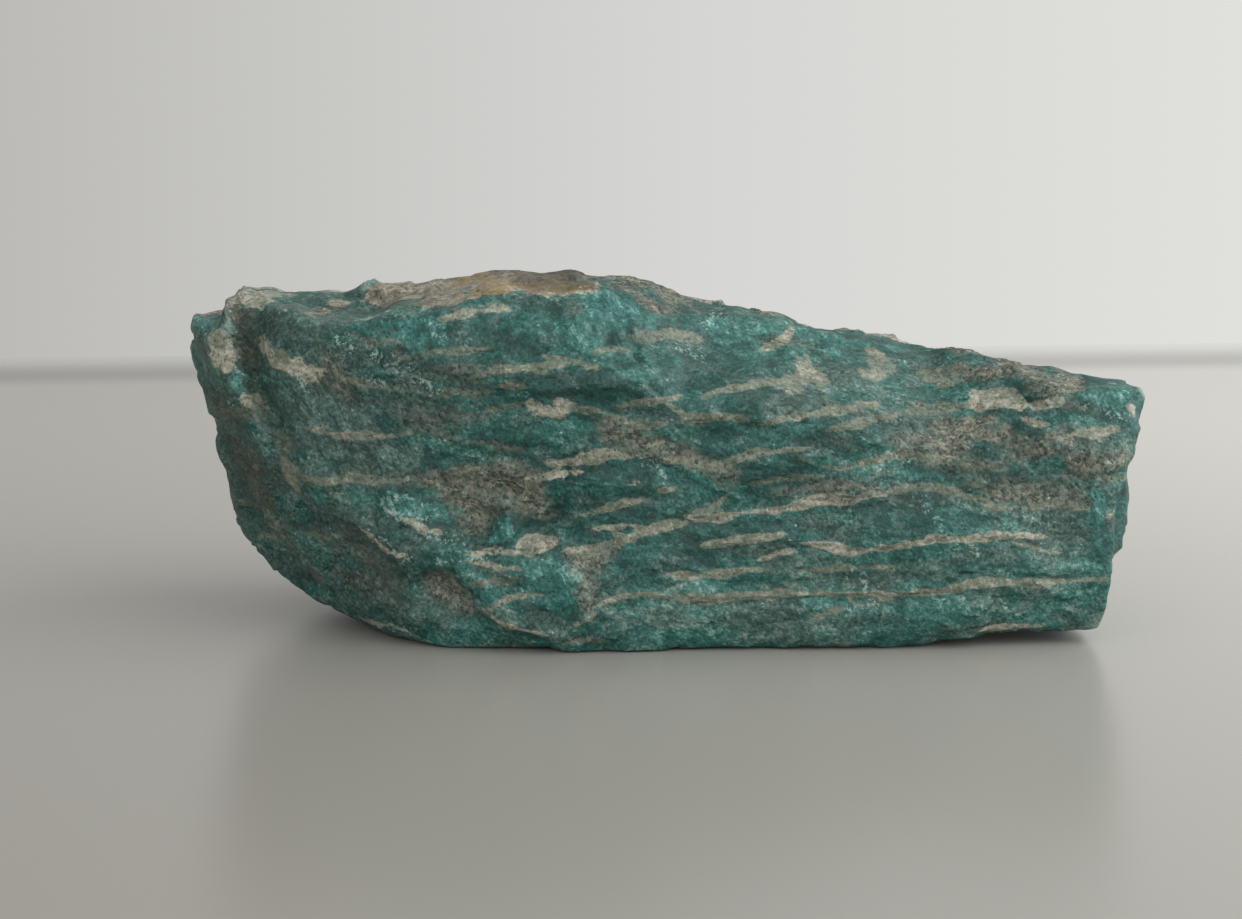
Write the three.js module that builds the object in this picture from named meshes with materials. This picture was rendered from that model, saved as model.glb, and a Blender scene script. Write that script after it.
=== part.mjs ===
// A rough chunk of amazonite, the blue-green potassium feldspar, as it was split from a larger crystal.
// One stone, one solid: a long block with a weathered, nearly level top, a broad fracture face in
// front, a bevelled left end that narrows to a nub, a steep right end and an underside that touches
// down in the middle. Millimetres, +Z up, +X to the right as one looks at the fracture face, which
// faces -Y. The origin lies on the surface that the stone rests on, under the middle of its box.
import * as THREE from "three";
import { ImprovedNoise } from "three/addons/math/ImprovedNoise.js";
import { mergeVertices } from "three/addons/utils/BufferGeometryUtils.js";

// Driving dimensions: the box of the finished stone, and the size of one facet of the model. The faces
// below are drawn in a box of about that size, which stands on z = 0 and is centred on x = y = 0.
const LENGTH = 93.8;
const DEPTH = 40.4;
const HEIGHT = 34.4;
const CELL = 1.88;

const { clamp, degToRad, lerp, smoothstep } = THREE.MathUtils;

// The line through hand-set [position, value] points, level beyond its ends.
const line = (points) => (at) => {
  const last = points.length - 1;
  if (at <= points[0][0]) return points[0][1];
  if (at >= points[last][0]) return points[last][1];
  const next = points.findIndex(([position]) => position > at);
  const [a, valueA] = points[next - 1];
  const [b, valueB] = points[next];
  return lerp(valueA, valueB, (at - a) / (b - a));
};

// Smooth noise between about -1 and 1, with lumps about size apart; seed picks the pattern.
const perlin = new ImprovedNoise();
const lumps = (size, seed, x, y, z) => perlin.noise(x / size + seed, y / size + 2 * seed, z / size - seed);

// The unevenness of a face: layers of such noise, each height mm high.
const unevenness = (layers, x, y, z) =>
  layers.reduce((sum, { height, size, seed }) => sum + height * lumps(size, seed, x, y, z), 0);

// Distance from a point to a closed outline, positive inside it.
function inside(outline, x, y) {
  let nearest = Infinity;
  let within = false;
  outline.forEach(([ax, ay], i) => {
    const [bx, by] = outline[(i + 1) % outline.length];
    const [sideX, sideY] = [bx - ax, by - ay];
    const along = clamp(((x - ax) * sideX + (y - ay) * sideY) / (sideX ** 2 + sideY ** 2), 0, 1);
    nearest = Math.min(nearest, Math.hypot(x - ax - along * sideX, y - ay - along * sideY));
    if (ay > y !== by > y && x < ax + ((y - ay) / sideY) * sideX) within = !within;
  });
  return within ? nearest : -nearest;
}

// Plates: patches of a face that stand proud of it (rise above 0) or lie below it. Each is an outline
// on the face, with an edge that takes edge mm to climb. A ramp, [from, to], lets the rise grow along
// the face's second direction, from nothing at from to all of it at to.
function relief(plates, u, v) {
  let height = 0;
  for (const { rise, edge, ramp, outline } of plates) {
    const share = ramp ? clamp((v - ramp[0]) / (ramp[1] - ramp[0]), 0, 1) : 1;
    height += rise * share * smoothstep(inside(outline, u, v), -edge / 2, edge / 2);
  }
  return height;
}

// ---- The top: a weathered parting surface ----
// The crest runs the length of the stone; the top falls gently from it to the front, and more steeply
// to the back.
const crestHeight = line([
  [-49, 29.8], [-46.8, 31.1], [-43.9, 31.1], [-43, 32], [-41.6, 32.2], [-39.6, 31.9], [-37.5, 32.4],
  [-33, 32.4], [-31, 32], [-28, 32.5], [-26.5, 33.4], [-22.2, 33.8], [-18.6, 34.3], [-16, 34.6],
  [-13.7, 34.1], [-9, 34.2], [-4, 33.8], [-1.6, 33.3], [1.9, 31.7], [3.2, 31.2], [7.6, 30.7],
  [13.7, 29.2], [15.6, 29.2], [21.4, 27.7], [24, 26.9], [26.2, 26.5], [28, 26.7], [30.6, 26.4],
  [33.3, 25.8], [34.4, 25.8], [36, 25.4], [41.3, 24.7], [46, 24.3], [48, 24],
]);
const crestPlace = line([[-48, -3], [-38, 2], [-20, 4], [5, 5], [30, 3], [48, -5]]);
const FALL_TO_FRONT = 0.08;
const FALL_TO_BACK = 0.3;
const TOP_UNEVENNESS = [
  { height: 0.45, size: 9, seed: 1.3 },
  { height: 0.3, size: 4.2, seed: 5.1 },
];
const TOP_PLATES = [
  // the tooth on the crest
  { rise: 1.3, edge: 2, outline: [[-31.4, 0], [-28.2, -0.4], [-27.6, 3], [-30.4, 4]] },
  // the rounded white knob by the left end, and the lower one beside it
  { rise: 1.1, edge: 2.2, outline: [[-43, -5], [-39.4, -5.4], [-38.8, 1], [-42.6, 1.6]] },
  { rise: -1.0, edge: 2, outline: [[-45.3, -8], [-43.4, -8], [-43.2, 4], [-45.5, 4]] },
  // crust that has flaked away in sheets
  { rise: -0.8, edge: 2, outline: [[-37, -13], [-22, -14], [-16, -6], [-21, 1], [-34, -3]] },
  { rise: -0.9, edge: 2, outline: [[-14, 5], [6, 7], [18, 9], [14, 20], [-8, 22], [-20, 14]] },
  { rise: 0.7, edge: 2, outline: [[20, -3], [29.5, -5], [31, 1], [24, 6], [18, 4]] },
];

function topHeight(x, y) {
  const back = y - crestPlace(x);
  const fall = back > 0 ? FALL_TO_BACK * back : -FALL_TO_FRONT * back;
  return crestHeight(x) - fall + relief(TOP_PLATES, x, y) + unevenness(TOP_UNEVENNESS, x, y, 0);
}

// ---- The front: the broad fracture face ----
// How far it stands out from the middle of the stone, seen from above, and the shoulder where it
// leans back under the top: the shoulder's place and how fast the face comes forward below it.
const frontPlan = line([
  [-48, 2], [-45, 6.5], [-41, 9.5], [-36.5, 12], [-30, 14.4], [-21, 17], [-8, 18], [10, 17.6],
  [30, 16.6], [42, 15.4], [45.5, 13.5], [47.5, 9],
]);
const shoulderPlace = line([
  [-46, 6], [-40, 8], [-30, 12], [-22, 12], [-16, 10], [-9, 8], [-3, 5], [5, 1.5], [15, 0.5],
  [26, 1], [31.5, 6], [36, 10], [47, 10],
]);
const shoulderLean = line([
  [-46, 0.8], [-30, 0.55], [-20, 0.7], [-12, 1.15], [-2, 1.7], [8, 2.3], [24, 2.3], [33, 1.1],
  [47, 0.7],
]);
// Below the shoulder the face stands a little out of plumb about this height, and turns in at the foot.
const PLUMB_HEIGHT = 10;
const OUT_OF_PLUMB = 0.055;
const FOOT_HEIGHT = 2.4;
const FOOT_UNDERCUT = 0.5;
// The facet at the lower left falls away from this line, down and to the left. It takes over between
// these two places.
const LOWER_FACET = { x: -28.5, z: 9.5, turn: degToRad(44), fall: 0.72, from: -20, to: -30 };
const FRONT_UNEVENNESS = [
  { height: 0.5, size: 13, seed: 2.7 },
  { height: 0.3, size: 5.5, seed: 7.9 },
  { height: 0.16, size: 3, seed: 3.3 },
];
const FRONT_PLATES = [
  // the granular hollow, which deepens down to the ledge under it
  {
    rise: -2.4,
    edge: 2,
    ramp: [21.5, 11.5],
    outline: [
      [-23, 22], [-22.2, 13.5], [-20.6, 11.6], [-17, 10.4], [-14.6, 10.6], [-10, 11.8], [-7.4, 14],
      [-9, 22],
    ],
  },
  // the pointed fragment that stands in it, and the blue knob at its left
  { rise: 1.5, edge: 2, outline: [[-16.6, 10], [-16, 13.6], [-15, 14], [-13.8, 12.4], [-13.6, 10]] },
  { rise: 0.9, edge: 2, outline: [[-27, 11.2], [-26.4, 15], [-22.8, 15.2], [-22, 12], [-23.4, 10.6]] },
  // the ledge below the hollow, and the shell-shaped flake under it
  {
    rise: 0.7,
    edge: 2,
    outline: [[-28, 11.4], [-21, 10.8], [-12, 9.8], [-8.6, 9.2], [-9.4, 6.6], [-20, 6.8], [-24.5, 7.6]],
  },
  {
    rise: 1.1,
    edge: 2,
    outline: [
      [-19.4, 6.6], [-17.8, 3.4], [-15.2, 1.9], [-10.4, 0.8], [-7.6, 1.4], [-6.2, 3.4], [-6.6, 6.4],
      [-9.6, 8.6], [-15.6, 8],
    ],
  },
  { rise: -0.9, edge: 2, outline: [[-23.6, 8.4], [-19.4, 7], [-17.8, 3.6], [-19, 2.6], [-23.8, 3.6]] },
  // the foot that reaches forward at the bottom
  { rise: 1.4, edge: 2.6, outline: [[-11, -2], [-10, 0.9], [-5, 1.4], [0.5, 0.8], [1, -2]] },
  // terraces of the right half
  {
    rise: 0.8,
    edge: 2,
    outline: [[9, 23.2], [20, 22.2], [31.4, 20.6], [32.4, 22.6], [24, 26.4], [10, 27.6]],
  },
  { rise: -0.6, edge: 2, outline: [[19, 20.4], [44, 18], [44, 14], [29, 13.2], [19, 17]] },
  { rise: 0.5, edge: 2, outline: [[8, 11.6], [27, 13.2], [32, 11.6], [31, 9], [12, 8]] },
  { rise: -0.7, edge: 2, outline: [[30.4, 4.8], [46, 5.6], [46, -1], [30.8, -1]] },
  // the white knob at the upper right
  { rise: 0.7, edge: 2, outline: [[29.6, 20.6], [33.4, 20.2], [33.2, 22.6], [30.4, 22.8]] },
  // the brow over the middle and the slack below it
  { rise: 0.8, edge: 2.4, outline: [[-16, 25], [-4, 24.4], [3, 26.6], [1, 31], [-14, 32]] },
  { rise: -0.5, edge: 2.4, outline: [[-24, 26], [-6, 22.4], [6, 21], [5, 17.6], [-22, 20]] },
];
// The groove between the end rib and the rest of the front: it fades out downwards.
const END_GROOVE = {
  rise: -2.2,
  edge: 2,
  ramp: [13, 27],
  outline: [
    [-41.6, 34], [-41.8, 26], [-38, 17], [-35.4, 12.4], [-33.6, 12.8], [-36, 19], [-38.6, 25.4],
    [-38.8, 34],
  ],
};

function frontReach(x, z) {
  const shoulder = shoulderPlace(x);
  const shoulderHeight = crestHeight(x) - FALL_TO_FRONT * (crestPlace(x) + shoulder);
  const leaning = shoulder + shoulderLean(x) * (shoulderHeight - z);
  const foot = FOOT_UNDERCUT * Math.max(0, FOOT_HEIGHT - z);
  const upright = frontPlan(x) - OUT_OF_PLUMB * (z - PLUMB_HEIGHT) - foot;
  const { turn, fall, from, to } = LOWER_FACET;
  const beyond = (LOWER_FACET.x - x) * Math.cos(turn) + (LOWER_FACET.z - z) * Math.sin(turn);
  const faceted = upright - fall * Math.max(0, beyond) * smoothstep(-x, -from, -to);
  const height = relief(FRONT_PLATES, x, z) + relief([END_GROOVE], x, z);
  return Math.min(leaning, faceted) + height + unevenness(FRONT_UNEVENNESS, x, 0, z);
}

// ---- The back: two fracture faces that meet in a blunt edge ----
const backPlan = line([
  [-48, 3], [-45, 8], [-37, 15.5], [-21, 20.5], [-6, 20.8], [16, 18.4], [35, 13.6], [43, 8.6],
  [47.5, 1],
]);
const BACK_EDGE_HEIGHT = 15;
const BACK_LEAN_UP = 0.34;
const BACK_LEAN_DOWN = 0.42;
// The plane in which the back's unevenness is taken, well away from the front's.
const BACK_PLANE = 50;
const BACK_UNEVENNESS = [
  { height: 0.6, size: 12, seed: 4.4 },
  { height: 0.35, size: 5, seed: 8.6 },
];
const BACK_PLATES = [
  // a shallow shell-shaped scar, and the steps of cleavage beside it
  { rise: -2.6, edge: 5, outline: [[-30, 26], [-31, 15], [-22, 8], [-11, 10], [-7, 19], [-14, 28]] },
  { rise: -1.4, edge: 2, outline: [[2, 34], [3, 17], [9, 13], [24, 14.6], [31, 20], [31, 34]] },
  { rise: -1.1, edge: 2, outline: [[14, 34], [15, 19.6], [28, 20.4], [46, 24], [46, 34]] },
  { rise: 1.0, edge: 2, outline: [[-6, 9], [14, 7.4], [26, 5], [24, -1], [-4, -1]] },
  { rise: -1.2, edge: 2, outline: [[28, 12], [46, 13.4], [46, -1], [30, -1]] },
];

function backReach(x, z) {
  const above = z - BACK_EDGE_HEIGHT;
  const lean = above > 0 ? BACK_LEAN_UP * above : -BACK_LEAN_DOWN * above;
  return backPlan(x) - lean + relief(BACK_PLATES, x, z) + unevenness(BACK_UNEVENNESS, x, BACK_PLANE, z);
}

// ---- The two ends ----
// Where each stands at each height, where it stands out furthest, and how fast it turns away from
// there. The left end is undercut to a slanting lower edge.
const leftEnd = line([
  [0, -29], [1.2, -32.2], [2.6, -35.6], [4.6, -39.1], [7.4, -42.6], [11.4, -44.1], [14, -44.8],
  [16.7, -45.1], [18.5, -45], [20.2, -45.4], [22.4, -46.6], [25.2, -48], [28.8, -49.7],
  [30, -49.4], [31, -48.2], [32.5, -44],
]);
const LEFT_NOSE = -3;
const LEFT_TURN = 0.1;
const LEFT_UNEVENNESS = [{ height: 0.5, size: 6, seed: 6.1 }];
const rightEnd = line([
  [0, 40.6], [1.8, 41.8], [5, 42.3], [13.4, 42.8], [15, 43.8], [19, 45.1], [24, 46.2],
]);
const RIGHT_NOSE = -6;
const RIGHT_TURN = 0.17;
const RIGHT_UNEVENNESS = [{ height: 0.4, size: 6, seed: 9.2 }];
const RIGHT_PLATES = [
  // the splinter that stands out behind the front edge
  { rise: 1.9, edge: 2.2, outline: [[-12, 7.8], [-12, 14.8], [4, 15.8], [7, 11], [4, 6.8]] },
  { rise: -1.0, edge: 2, outline: [[-3, 26], [-1, 10], [4, 2], [20, 2], [20, 26]] },
  { rise: -0.7, edge: 2, outline: [[3, 16], [9, 15], [20, 14], [20, -1], [5, -1]] },
];

const leftReach = (y, z) =>
  -leftEnd(z) - LEFT_TURN * Math.abs(y - LEFT_NOSE) + unevenness(LEFT_UNEVENNESS, -LENGTH / 2, y, z);

const rightReach = (y, z) =>
  rightEnd(z) - RIGHT_TURN * Math.max(0, y - RIGHT_NOSE) + relief(RIGHT_PLATES, y, z) +
  unevenness(RIGHT_UNEVENNESS, LENGTH / 2, y, z);

// ---- The underside ----
// Hollow towards its rim and flat where it has been worn by standing: nothing reaches below z = 0.
const underRise = line([
  [-34, 1.7], [-30, 0.7], [-26.5, -0.1], [-20, -0.5], [22, -0.5], [26.5, 0.8], [34, 1.1], [38, 0.9],
  [46, 1.5],
]);
const UNDER_BACK_START = 6;
const UNDER_BACK_RISE = 0.34;
const UNDER_UNEVENNESS = [{ height: 0.55, size: 7, seed: 3.9 }];

function bottomHeight(x, y) {
  const behind = UNDER_BACK_RISE * Math.max(0, y - UNDER_BACK_START);
  return Math.max(0, underRise(x) + behind + unevenness(UNDER_UNEVENNESS, x, y, 0));
}

// ---- The stone ----
// A point is in the stone when it is behind all six faces.
function inStone(x, y, z) {
  return (
    z > bottomHeight(x, y) && z < topHeight(x, y) && x < rightReach(y, z) && x > -leftReach(y, z) &&
    -y < frontReach(x, z) && y < backReach(x, z)
  );
}

// Rays leave this line inside the stone and run out to its skin, through the points of a box's faces.
// Each point is first shifted a little, so that the facets are as uneven as those of broken stone.
const SPINE = { left: -26, right: 28, y: 0, z: 15 };
const SHIFT = 0.62 * CELL;
const SHIFT_GRAIN = 0.41 * CELL;
const SHIFT_SEEDS = [3.1, 5.7, 8.3];
const SEARCH_STEP = 0.4;
const SEARCH_OVERSHOOT = 1.35;
const HALVINGS = 14;
// What ends this close to the resting surface lies on it.
const TOUCHES = 0.01;

// The outermost point of the stone on the ray from the spine through one point of the box.
function skinPoint(boxPoint) {
  const shift = SHIFT_SEEDS.map((seed) => SHIFT * lumps(SHIFT_GRAIN, seed, ...boxPoint));
  const target = new THREE.Vector3(...shift).add(boxPoint);
  const start = new THREE.Vector3(clamp(target.x, SPINE.left, SPINE.right), SPINE.y, SPINE.z);
  const ray = target.sub(start).multiplyScalar(SEARCH_OVERSHOOT);
  const at = (share) => start.clone().addScaledVector(ray, share);
  const step = SEARCH_STEP / ray.length();
  let outer = 1;
  while (outer > step && !inStone(...at(outer - step))) outer -= step;
  let inner = Math.max(0, outer - step);
  for (let i = 0; i < HALVINGS; i++) {
    const middle = (inner + outer) / 2;
    if (inStone(...at(middle))) inner = middle;
    else outer = middle;
  }
  return at(inner);
}

function stoneGeometry() {
  const [across, deep, high] = [LENGTH, DEPTH, HEIGHT].map((side) => Math.round(side / CELL));
  const box = new THREE.BoxGeometry(LENGTH, DEPTH, HEIGHT, across, deep, high);
  box.deleteAttribute("normal");
  box.deleteAttribute("uv");
  box.translate(0, 0, HEIGHT / 2);
  const geometry = mergeVertices(box);
  const place = geometry.getAttribute("position");
  const point = new THREE.Vector3();
  for (let i = 0; i < place.count; i++) {
    point.fromBufferAttribute(place, i);
    place.setXYZ(i, ...skinPoint(point));
  }
  // The finished stone fills the driving box, and stands on z = 0 over the origin.
  geometry.computeBoundingBox();
  const { min, max } = geometry.boundingBox;
  geometry.translate(-(min.x + max.x) / 2, -(min.y + max.y) / 2, -min.z);
  geometry.scale(LENGTH / (max.x - min.x), DEPTH / (max.y - min.y), HEIGHT / (max.z - min.z));
  for (let i = 0; i < place.count; i++) {
    if (place.getZ(i) < TOUCHES) place.setZ(i, 0);
  }
  return geometry;
}

const amazonite = new THREE.Mesh(
  stoneGeometry(),
  new THREE.MeshStandardMaterial({ color: 0x3f6b62, roughness: 0.72, metalness: 0 }),
);
amazonite.name = "amazonite";

const stone = new THREE.Group();
stone.add(amazonite);

export default stone;
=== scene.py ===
import math

import bmesh
import bpy
import numpy as np
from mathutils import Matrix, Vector, noise
from mathutils.bvhtree import BVHTree


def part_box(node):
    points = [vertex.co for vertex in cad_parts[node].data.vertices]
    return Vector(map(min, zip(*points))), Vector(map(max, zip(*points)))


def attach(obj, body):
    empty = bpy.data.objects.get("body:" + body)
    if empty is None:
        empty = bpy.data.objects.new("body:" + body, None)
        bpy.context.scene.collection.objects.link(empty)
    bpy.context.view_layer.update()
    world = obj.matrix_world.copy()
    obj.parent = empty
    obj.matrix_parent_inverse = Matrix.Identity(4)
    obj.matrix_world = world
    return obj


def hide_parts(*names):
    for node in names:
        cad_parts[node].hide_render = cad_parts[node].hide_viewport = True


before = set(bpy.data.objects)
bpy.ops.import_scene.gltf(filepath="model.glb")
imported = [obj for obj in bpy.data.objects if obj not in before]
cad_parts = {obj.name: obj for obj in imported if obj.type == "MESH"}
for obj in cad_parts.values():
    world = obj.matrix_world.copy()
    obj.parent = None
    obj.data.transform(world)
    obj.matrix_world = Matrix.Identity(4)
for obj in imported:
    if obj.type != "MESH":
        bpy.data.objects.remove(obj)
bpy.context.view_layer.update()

# ------------------------------------------------------------------------------------------------
# The stone: one chunk of amazonite, a blue-green microcline feldspar, split from a larger crystal.
# Nobody has cut or polished it. Its skin is broken cleavage: low steps, chips and crushed edges,
# crossed by thin pale sheets of albite, with a brown weathered crust on its crest.

# Sizes and places of the stone are in mm, and turned to metres where they reach the mesh.
MM = 0.001
SURFACE_CUTS = ((0, 250), (1, 60), (2, 110))
SPINE_LEFT = -25.4
SPINE_RIGHT = 28.6
SPINE_Y = -0.45
SPINE_Z = 15.0
OUTSIDE = 120.0
CRISP_ANGLE = 32

stone = bmesh.new()
bmesh.ops.create_cube(stone, size=1)
for axis, cuts in SURFACE_CUTS:
    along = [e for e in stone.edges if abs((e.verts[1].co - e.verts[0].co)[axis]) > 0.5]
    bmesh.ops.subdivide_edges(stone, edges=along, cuts=cuts, use_grid_fill=True)

# The fine skin is drawn in from the stone's box onto its solid, along lines to a spine inside it.
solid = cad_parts["amazonite"]
solid_tree = BVHTree.FromObject(solid, bpy.context.evaluated_depsgraph_get())
low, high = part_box("amazonite")
for vert in stone.verts:
    share = vert.co + Vector((0.5, 0.5, 0.5))
    wall = Vector([low[i] + share[i] * (high[i] - low[i]) for i in range(3)])
    core_x = min(max(wall.x, SPINE_LEFT * MM), SPINE_RIGHT * MM)
    core = Vector((core_x, SPINE_Y * MM, SPINE_Z * MM))
    outward = (wall - core).normalized()
    vert.co = solid_tree.ray_cast(core + outward * OUTSIDE * MM, -outward)[0]


def soften(skin, factor, passes):
    """Rounds a mesh: each vertex moves towards the middle of its neighbours."""
    for _ in range(passes):
        bmesh.ops.smooth_vert(
            skin, verts=skin.verts, factor=factor, use_axis_x=True, use_axis_y=True, use_axis_z=True
        )


def measure(skin):
    """The places of a mesh's vertices in mm, and their normals."""
    skin.normal_update()
    places = np.array([v.co for v in skin.verts]) / MM
    return places, np.array([v.normal for v in skin.verts])


def move(skin, places):
    """Puts a mesh's vertices at the given places in mm."""
    for vert, spot in zip(skin.verts, places):
        vert.co = Vector(spot) * MM


soften(stone, factor=0.5, passes=2)
place, facing = measure(stone)
x = place[:, 0]
y = place[:, 1]
z = place[:, 2]


def ease(value, start, end):
    """0 before start, 1 after end, and smooth between them."""
    t = np.clip((value - start) / (end - start), 0.0, 1.0)
    return t * t * (3.0 - 2.0 * t)


def cloud(size, seed=0.0, octaves=1):
    """Soft noise of about -1 to 1 at each point, with lumps of size mm along x, y and z."""
    spots = place / np.array(size) + seed
    if octaves == 1:
        return np.array([noise.noise(p) for p in spots.tolist()])
    return np.array([noise.fractal(p, 1.0, 2.0, octaves) for p in spots.tolist()])


def to_line(line):
    """For each point: its distance to a drawn line, its side of it, and how far along (0-1)."""
    ends = np.array(line, float)
    lengths = np.hypot(*(ends[1:] - ends[:-1]).T)
    starts = np.concatenate(([0.0], np.cumsum(lengths)))
    nearest = np.full(len(x), np.inf)
    side = np.zeros(len(x))
    along = np.zeros(len(x))
    for (ax, az), (bx, bz), length, start in zip(ends[:-1], ends[1:], lengths, starts):
        ux = (bx - ax) / length
        uz = (bz - az) / length
        reach = np.clip((x - ax) * ux + (z - az) * uz, 0.0, length)
        off = np.hypot(x - ax - reach * ux, z - az - reach * uz)
        closer = off < nearest
        nearest = np.where(closer, off, nearest)
        side = np.where(closer, np.sign((z - az) * ux - (x - ax) * uz), side)
        along = np.where(closer, (start + reach) / starts[-1], along)
    return nearest, side, along


def to_patch(outline):
    """Distance in mm from each point to a drawn outline, less than zero inside it."""
    closed = list(outline) + [outline[0]]
    inside = np.zeros(len(x), bool)
    for (ax, az), (bx, bz) in zip(closed[:-1], closed[1:]):
        crosses = (az > z) != (bz > z)
        climb = (bz - az) or 1.0
        inside ^= crosses & (x < (bx - ax) * (z - az) / climb + ax)
    return np.where(inside, -1.0, 1.0) * to_line(closed)[0]


# Outlines and lines are drawn on the broad front, as (x, z) in mm. Elsewhere the stone follows
# the same habits without a drawing. The front is what faces forwards and 9 degrees up.
FRONT_Y = -0.988
FRONT_Z = 0.156
front = ease(facing[:, 1] * FRONT_Y + facing[:, 2] * FRONT_Z, -0.1, 0.2)
upward = ease(facing[:, 2], 0.35, 0.75)
# The underside keeps the solid's own shape where it touches down, and is broken above REST_HEIGHT.
REST_HEIGHT = 1.6
above_rest = ease(z, 0.1, REST_HEIGHT)

# Three chips stand out by both their shape and their colour.
CLEAR_CHIP = ((-27.0, 14.6), (-25.8, 15.3), (-24.8, 14.9), (-23.0, 14.3), (-21.8, 13.8),
              (-21.5, 12.4), (-23.5, 12.0), (-25.4, 12.4), (-26.8, 13.6))
CLEAR_TOOTH = ((-15.6, 12.6), (-15.0, 13.0), (-14.2, 12.8), (-14.0, 11.6), (-14.6, 10.4),
               (-15.6, 10.0), (-16.6, 10.3), (-15.8, 11.4))
ALBITE_BLOCK = ((-12.1, 23.6), (-9.4, 23.8), (-8.2, 23.4), (-8.4, 22.3), (-9.4, 22.0),
                (-12.1, 22.3))
# Plates stand proud of the face, with a sharp lip; hollows have a lip that drops.
PLATES = (
    (0.42, ((-19.6, 7.2), (-17.0, 5.2), (-15.9, 3.2), (-13.4, 2.2), (-10.4, 1.4), (-8.4, 1.8),
            (-6.6, 3.6), (-6.5, 5.6), (-7.4, 8.0), (-10.0, 9.6), (-13.0, 10.4), (-16.4, 9.8),
            (-19.2, 8.8))),
    (-0.26, ((-21.8, 17.0), (-20.8, 18.4), (-15.1, 20.0), (-9.4, 19.6), (-8.0, 16.3),
             (-9.5, 12.3), (-12.3, 11.9), (-15.3, 10.4), (-18.9, 11.0), (-20.3, 12.8))),
    (0.25, CLEAR_CHIP),
    (0.38, CLEAR_TOOTH),
    (-0.2, ((-12.6, 11.2), (-11.6, 11.8), (-9.8, 11.6), (-9.7, 10.8), (-10.4, 9.6),
             (-11.4, 9.0), (-12.8, 9.6), (-13.6, 10.3))),
    (0.40, ((-44.3, 28.6), (-43.2, 29.6), (-41.5, 29.2), (-40.9, 27.6), (-41.3, 26.2),
            (-42.2, 25.2), (-43.0, 24.6), (-43.4, 26.0), (-44.0, 27.3))),
    (0.30, ((30.4, 22.4), (31.0, 23.4), (32.4, 23.8), (33.8, 23.6), (34.4, 22.6),
            (34.2, 21.9), (33.0, 22.0), (31.6, 22.2))),
    (-0.14, ((-12.0, 22.0), (-6.5, 22.5), (-5.5, 20.5), (-8.5, 19.2), (-11.0, 20.0))),
    (0.25, ALBITE_BLOCK),
    (0.65, ((-30.0, 32.4), (-29.3, 33.2), (-28.5, 33.4), (-27.6, 32.9), (-26.9, 32.4),
            (-28.4, 32.0))),
)
# Steps drop from the side that a line has above it (a minus: below it), to the other side.
STEPS = (
    (0.75, ((-30.6, 12.0), (-28.8, 11.6), (-27.4, 11.0), (-25.8, 9.8), (-24.4, 7.8), (-23.4, 5.6))),
    (-0.35, ((-19.4, 9.8), (-17.9, 9.6), (-15.0, 9.9), (-11.3, 9.1), (-6.6, 8.9))),
    (0.14, ((27.1, 17.5), (27.9, 15.9))),
    (-0.35, ((30.2, 5.2), (30.4, 3.8), (30.6, 2.6))),
    (0.30, ((-2.6, 19.0), (-1.2, 18.6), (1.4, 17.6), (3.2, 16.2), (5.6, 15.2), (8.2, 14.2))),
    (0.25, ((-14.0, 31.6), (-6.0, 29.4), (0.0, 29.2), (5.0, 28.4))),
    (0.25, ((0.8, 22.0), (5.0, 22.0), (9.6, 21.7), (16.4, 22.7), (22.6, 22.0))),
    (0.22, ((4.2, 10.2), (11.6, 10.6), (19.3, 9.8), (27.7, 10.9), (36.2, 10.6))),
    (0.16, ((-36.8, 26.6), (-34.6, 22.6), (-31.4, 16.6))),
    (0.12, ((-32.6, 25.2), (-30.6, 20.6), (-28.4, 16.4))),
    (0.28, ((-6.4, 4.4), (-2.0, 5.5), (3.2, 4.9), (13.3, 5.3), (25.4, 5.4), (35.3, 6.1))),
)
# Grooves: depth, half width and line.
GROOVES = (
    (0.80, 0.60, ((-41.2, 32.0), (-40.4, 29.0), (-40.0, 27.0), (-39.3, 24.0), (-37.2, 20.9))),
    (0.30, 0.28, ((-3.4, 30.2), (-2.8, 29.4), (-2.0, 28.7), (-2.5, 27.9), (-1.6, 26.9),
                  (-1.0, 25.6), (-0.2, 24.8))),
)
STEP_FADE = 0.12


def lip(inward, reach, dip, dip_reach, rounding):
    """A lip 1 high at the edge, that fades over reach mm inwards and dips just outside."""
    raised = np.where(inward > 0, np.exp(-inward / reach), -dip * np.exp(inward / dip_reach))
    return raised * (1.0 - np.exp(-np.abs(inward) / rounding))


lips = np.zeros(len(x))
for rise, outline in PLATES:
    inward = -to_patch(outline)
    lips += rise * front * lip(inward, reach=1.8, dip=0.35, dip_reach=0.7, rounding=0.2)
for rise, line in STEPS:
    off, side, along = to_line(line)
    inward = off * side * np.sign(rise)
    fade = ease(along, 0.0, STEP_FADE) * ease(1.0 - along, 0.0, STEP_FADE)
    lips += abs(rise) * fade * front * lip(inward, reach=1.5, dip=0.5, dip_reach=0.8, rounding=0.12)
for depth, half_width, line in GROOVES:
    lips -= depth * np.exp(-((to_line(line)[0] / half_width) ** 2)) * front


OWN_SEED = 7.31


def cleavage(size, rise, tilt, seed):
    """Flat chips of about size mm, each at its own height and slope, that meet in sharp ridges."""
    spots = place / np.array(size) + seed
    middle = Vector((0.5, 0.5, 0.5))
    level = np.zeros(len(x))
    for i, spot in enumerate(spots.tolist()):
        here = Vector(spot)
        planes = []
        for centre in noise.voronoi(spot)[1]:
            own = noise.cell_vector(centre * OWN_SEED)
            planes.append(rise * (own.x - 0.5) + tilt * (here - centre).dot(own - middle))
        level[i] = max(planes)
    return level - level.mean()


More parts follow.
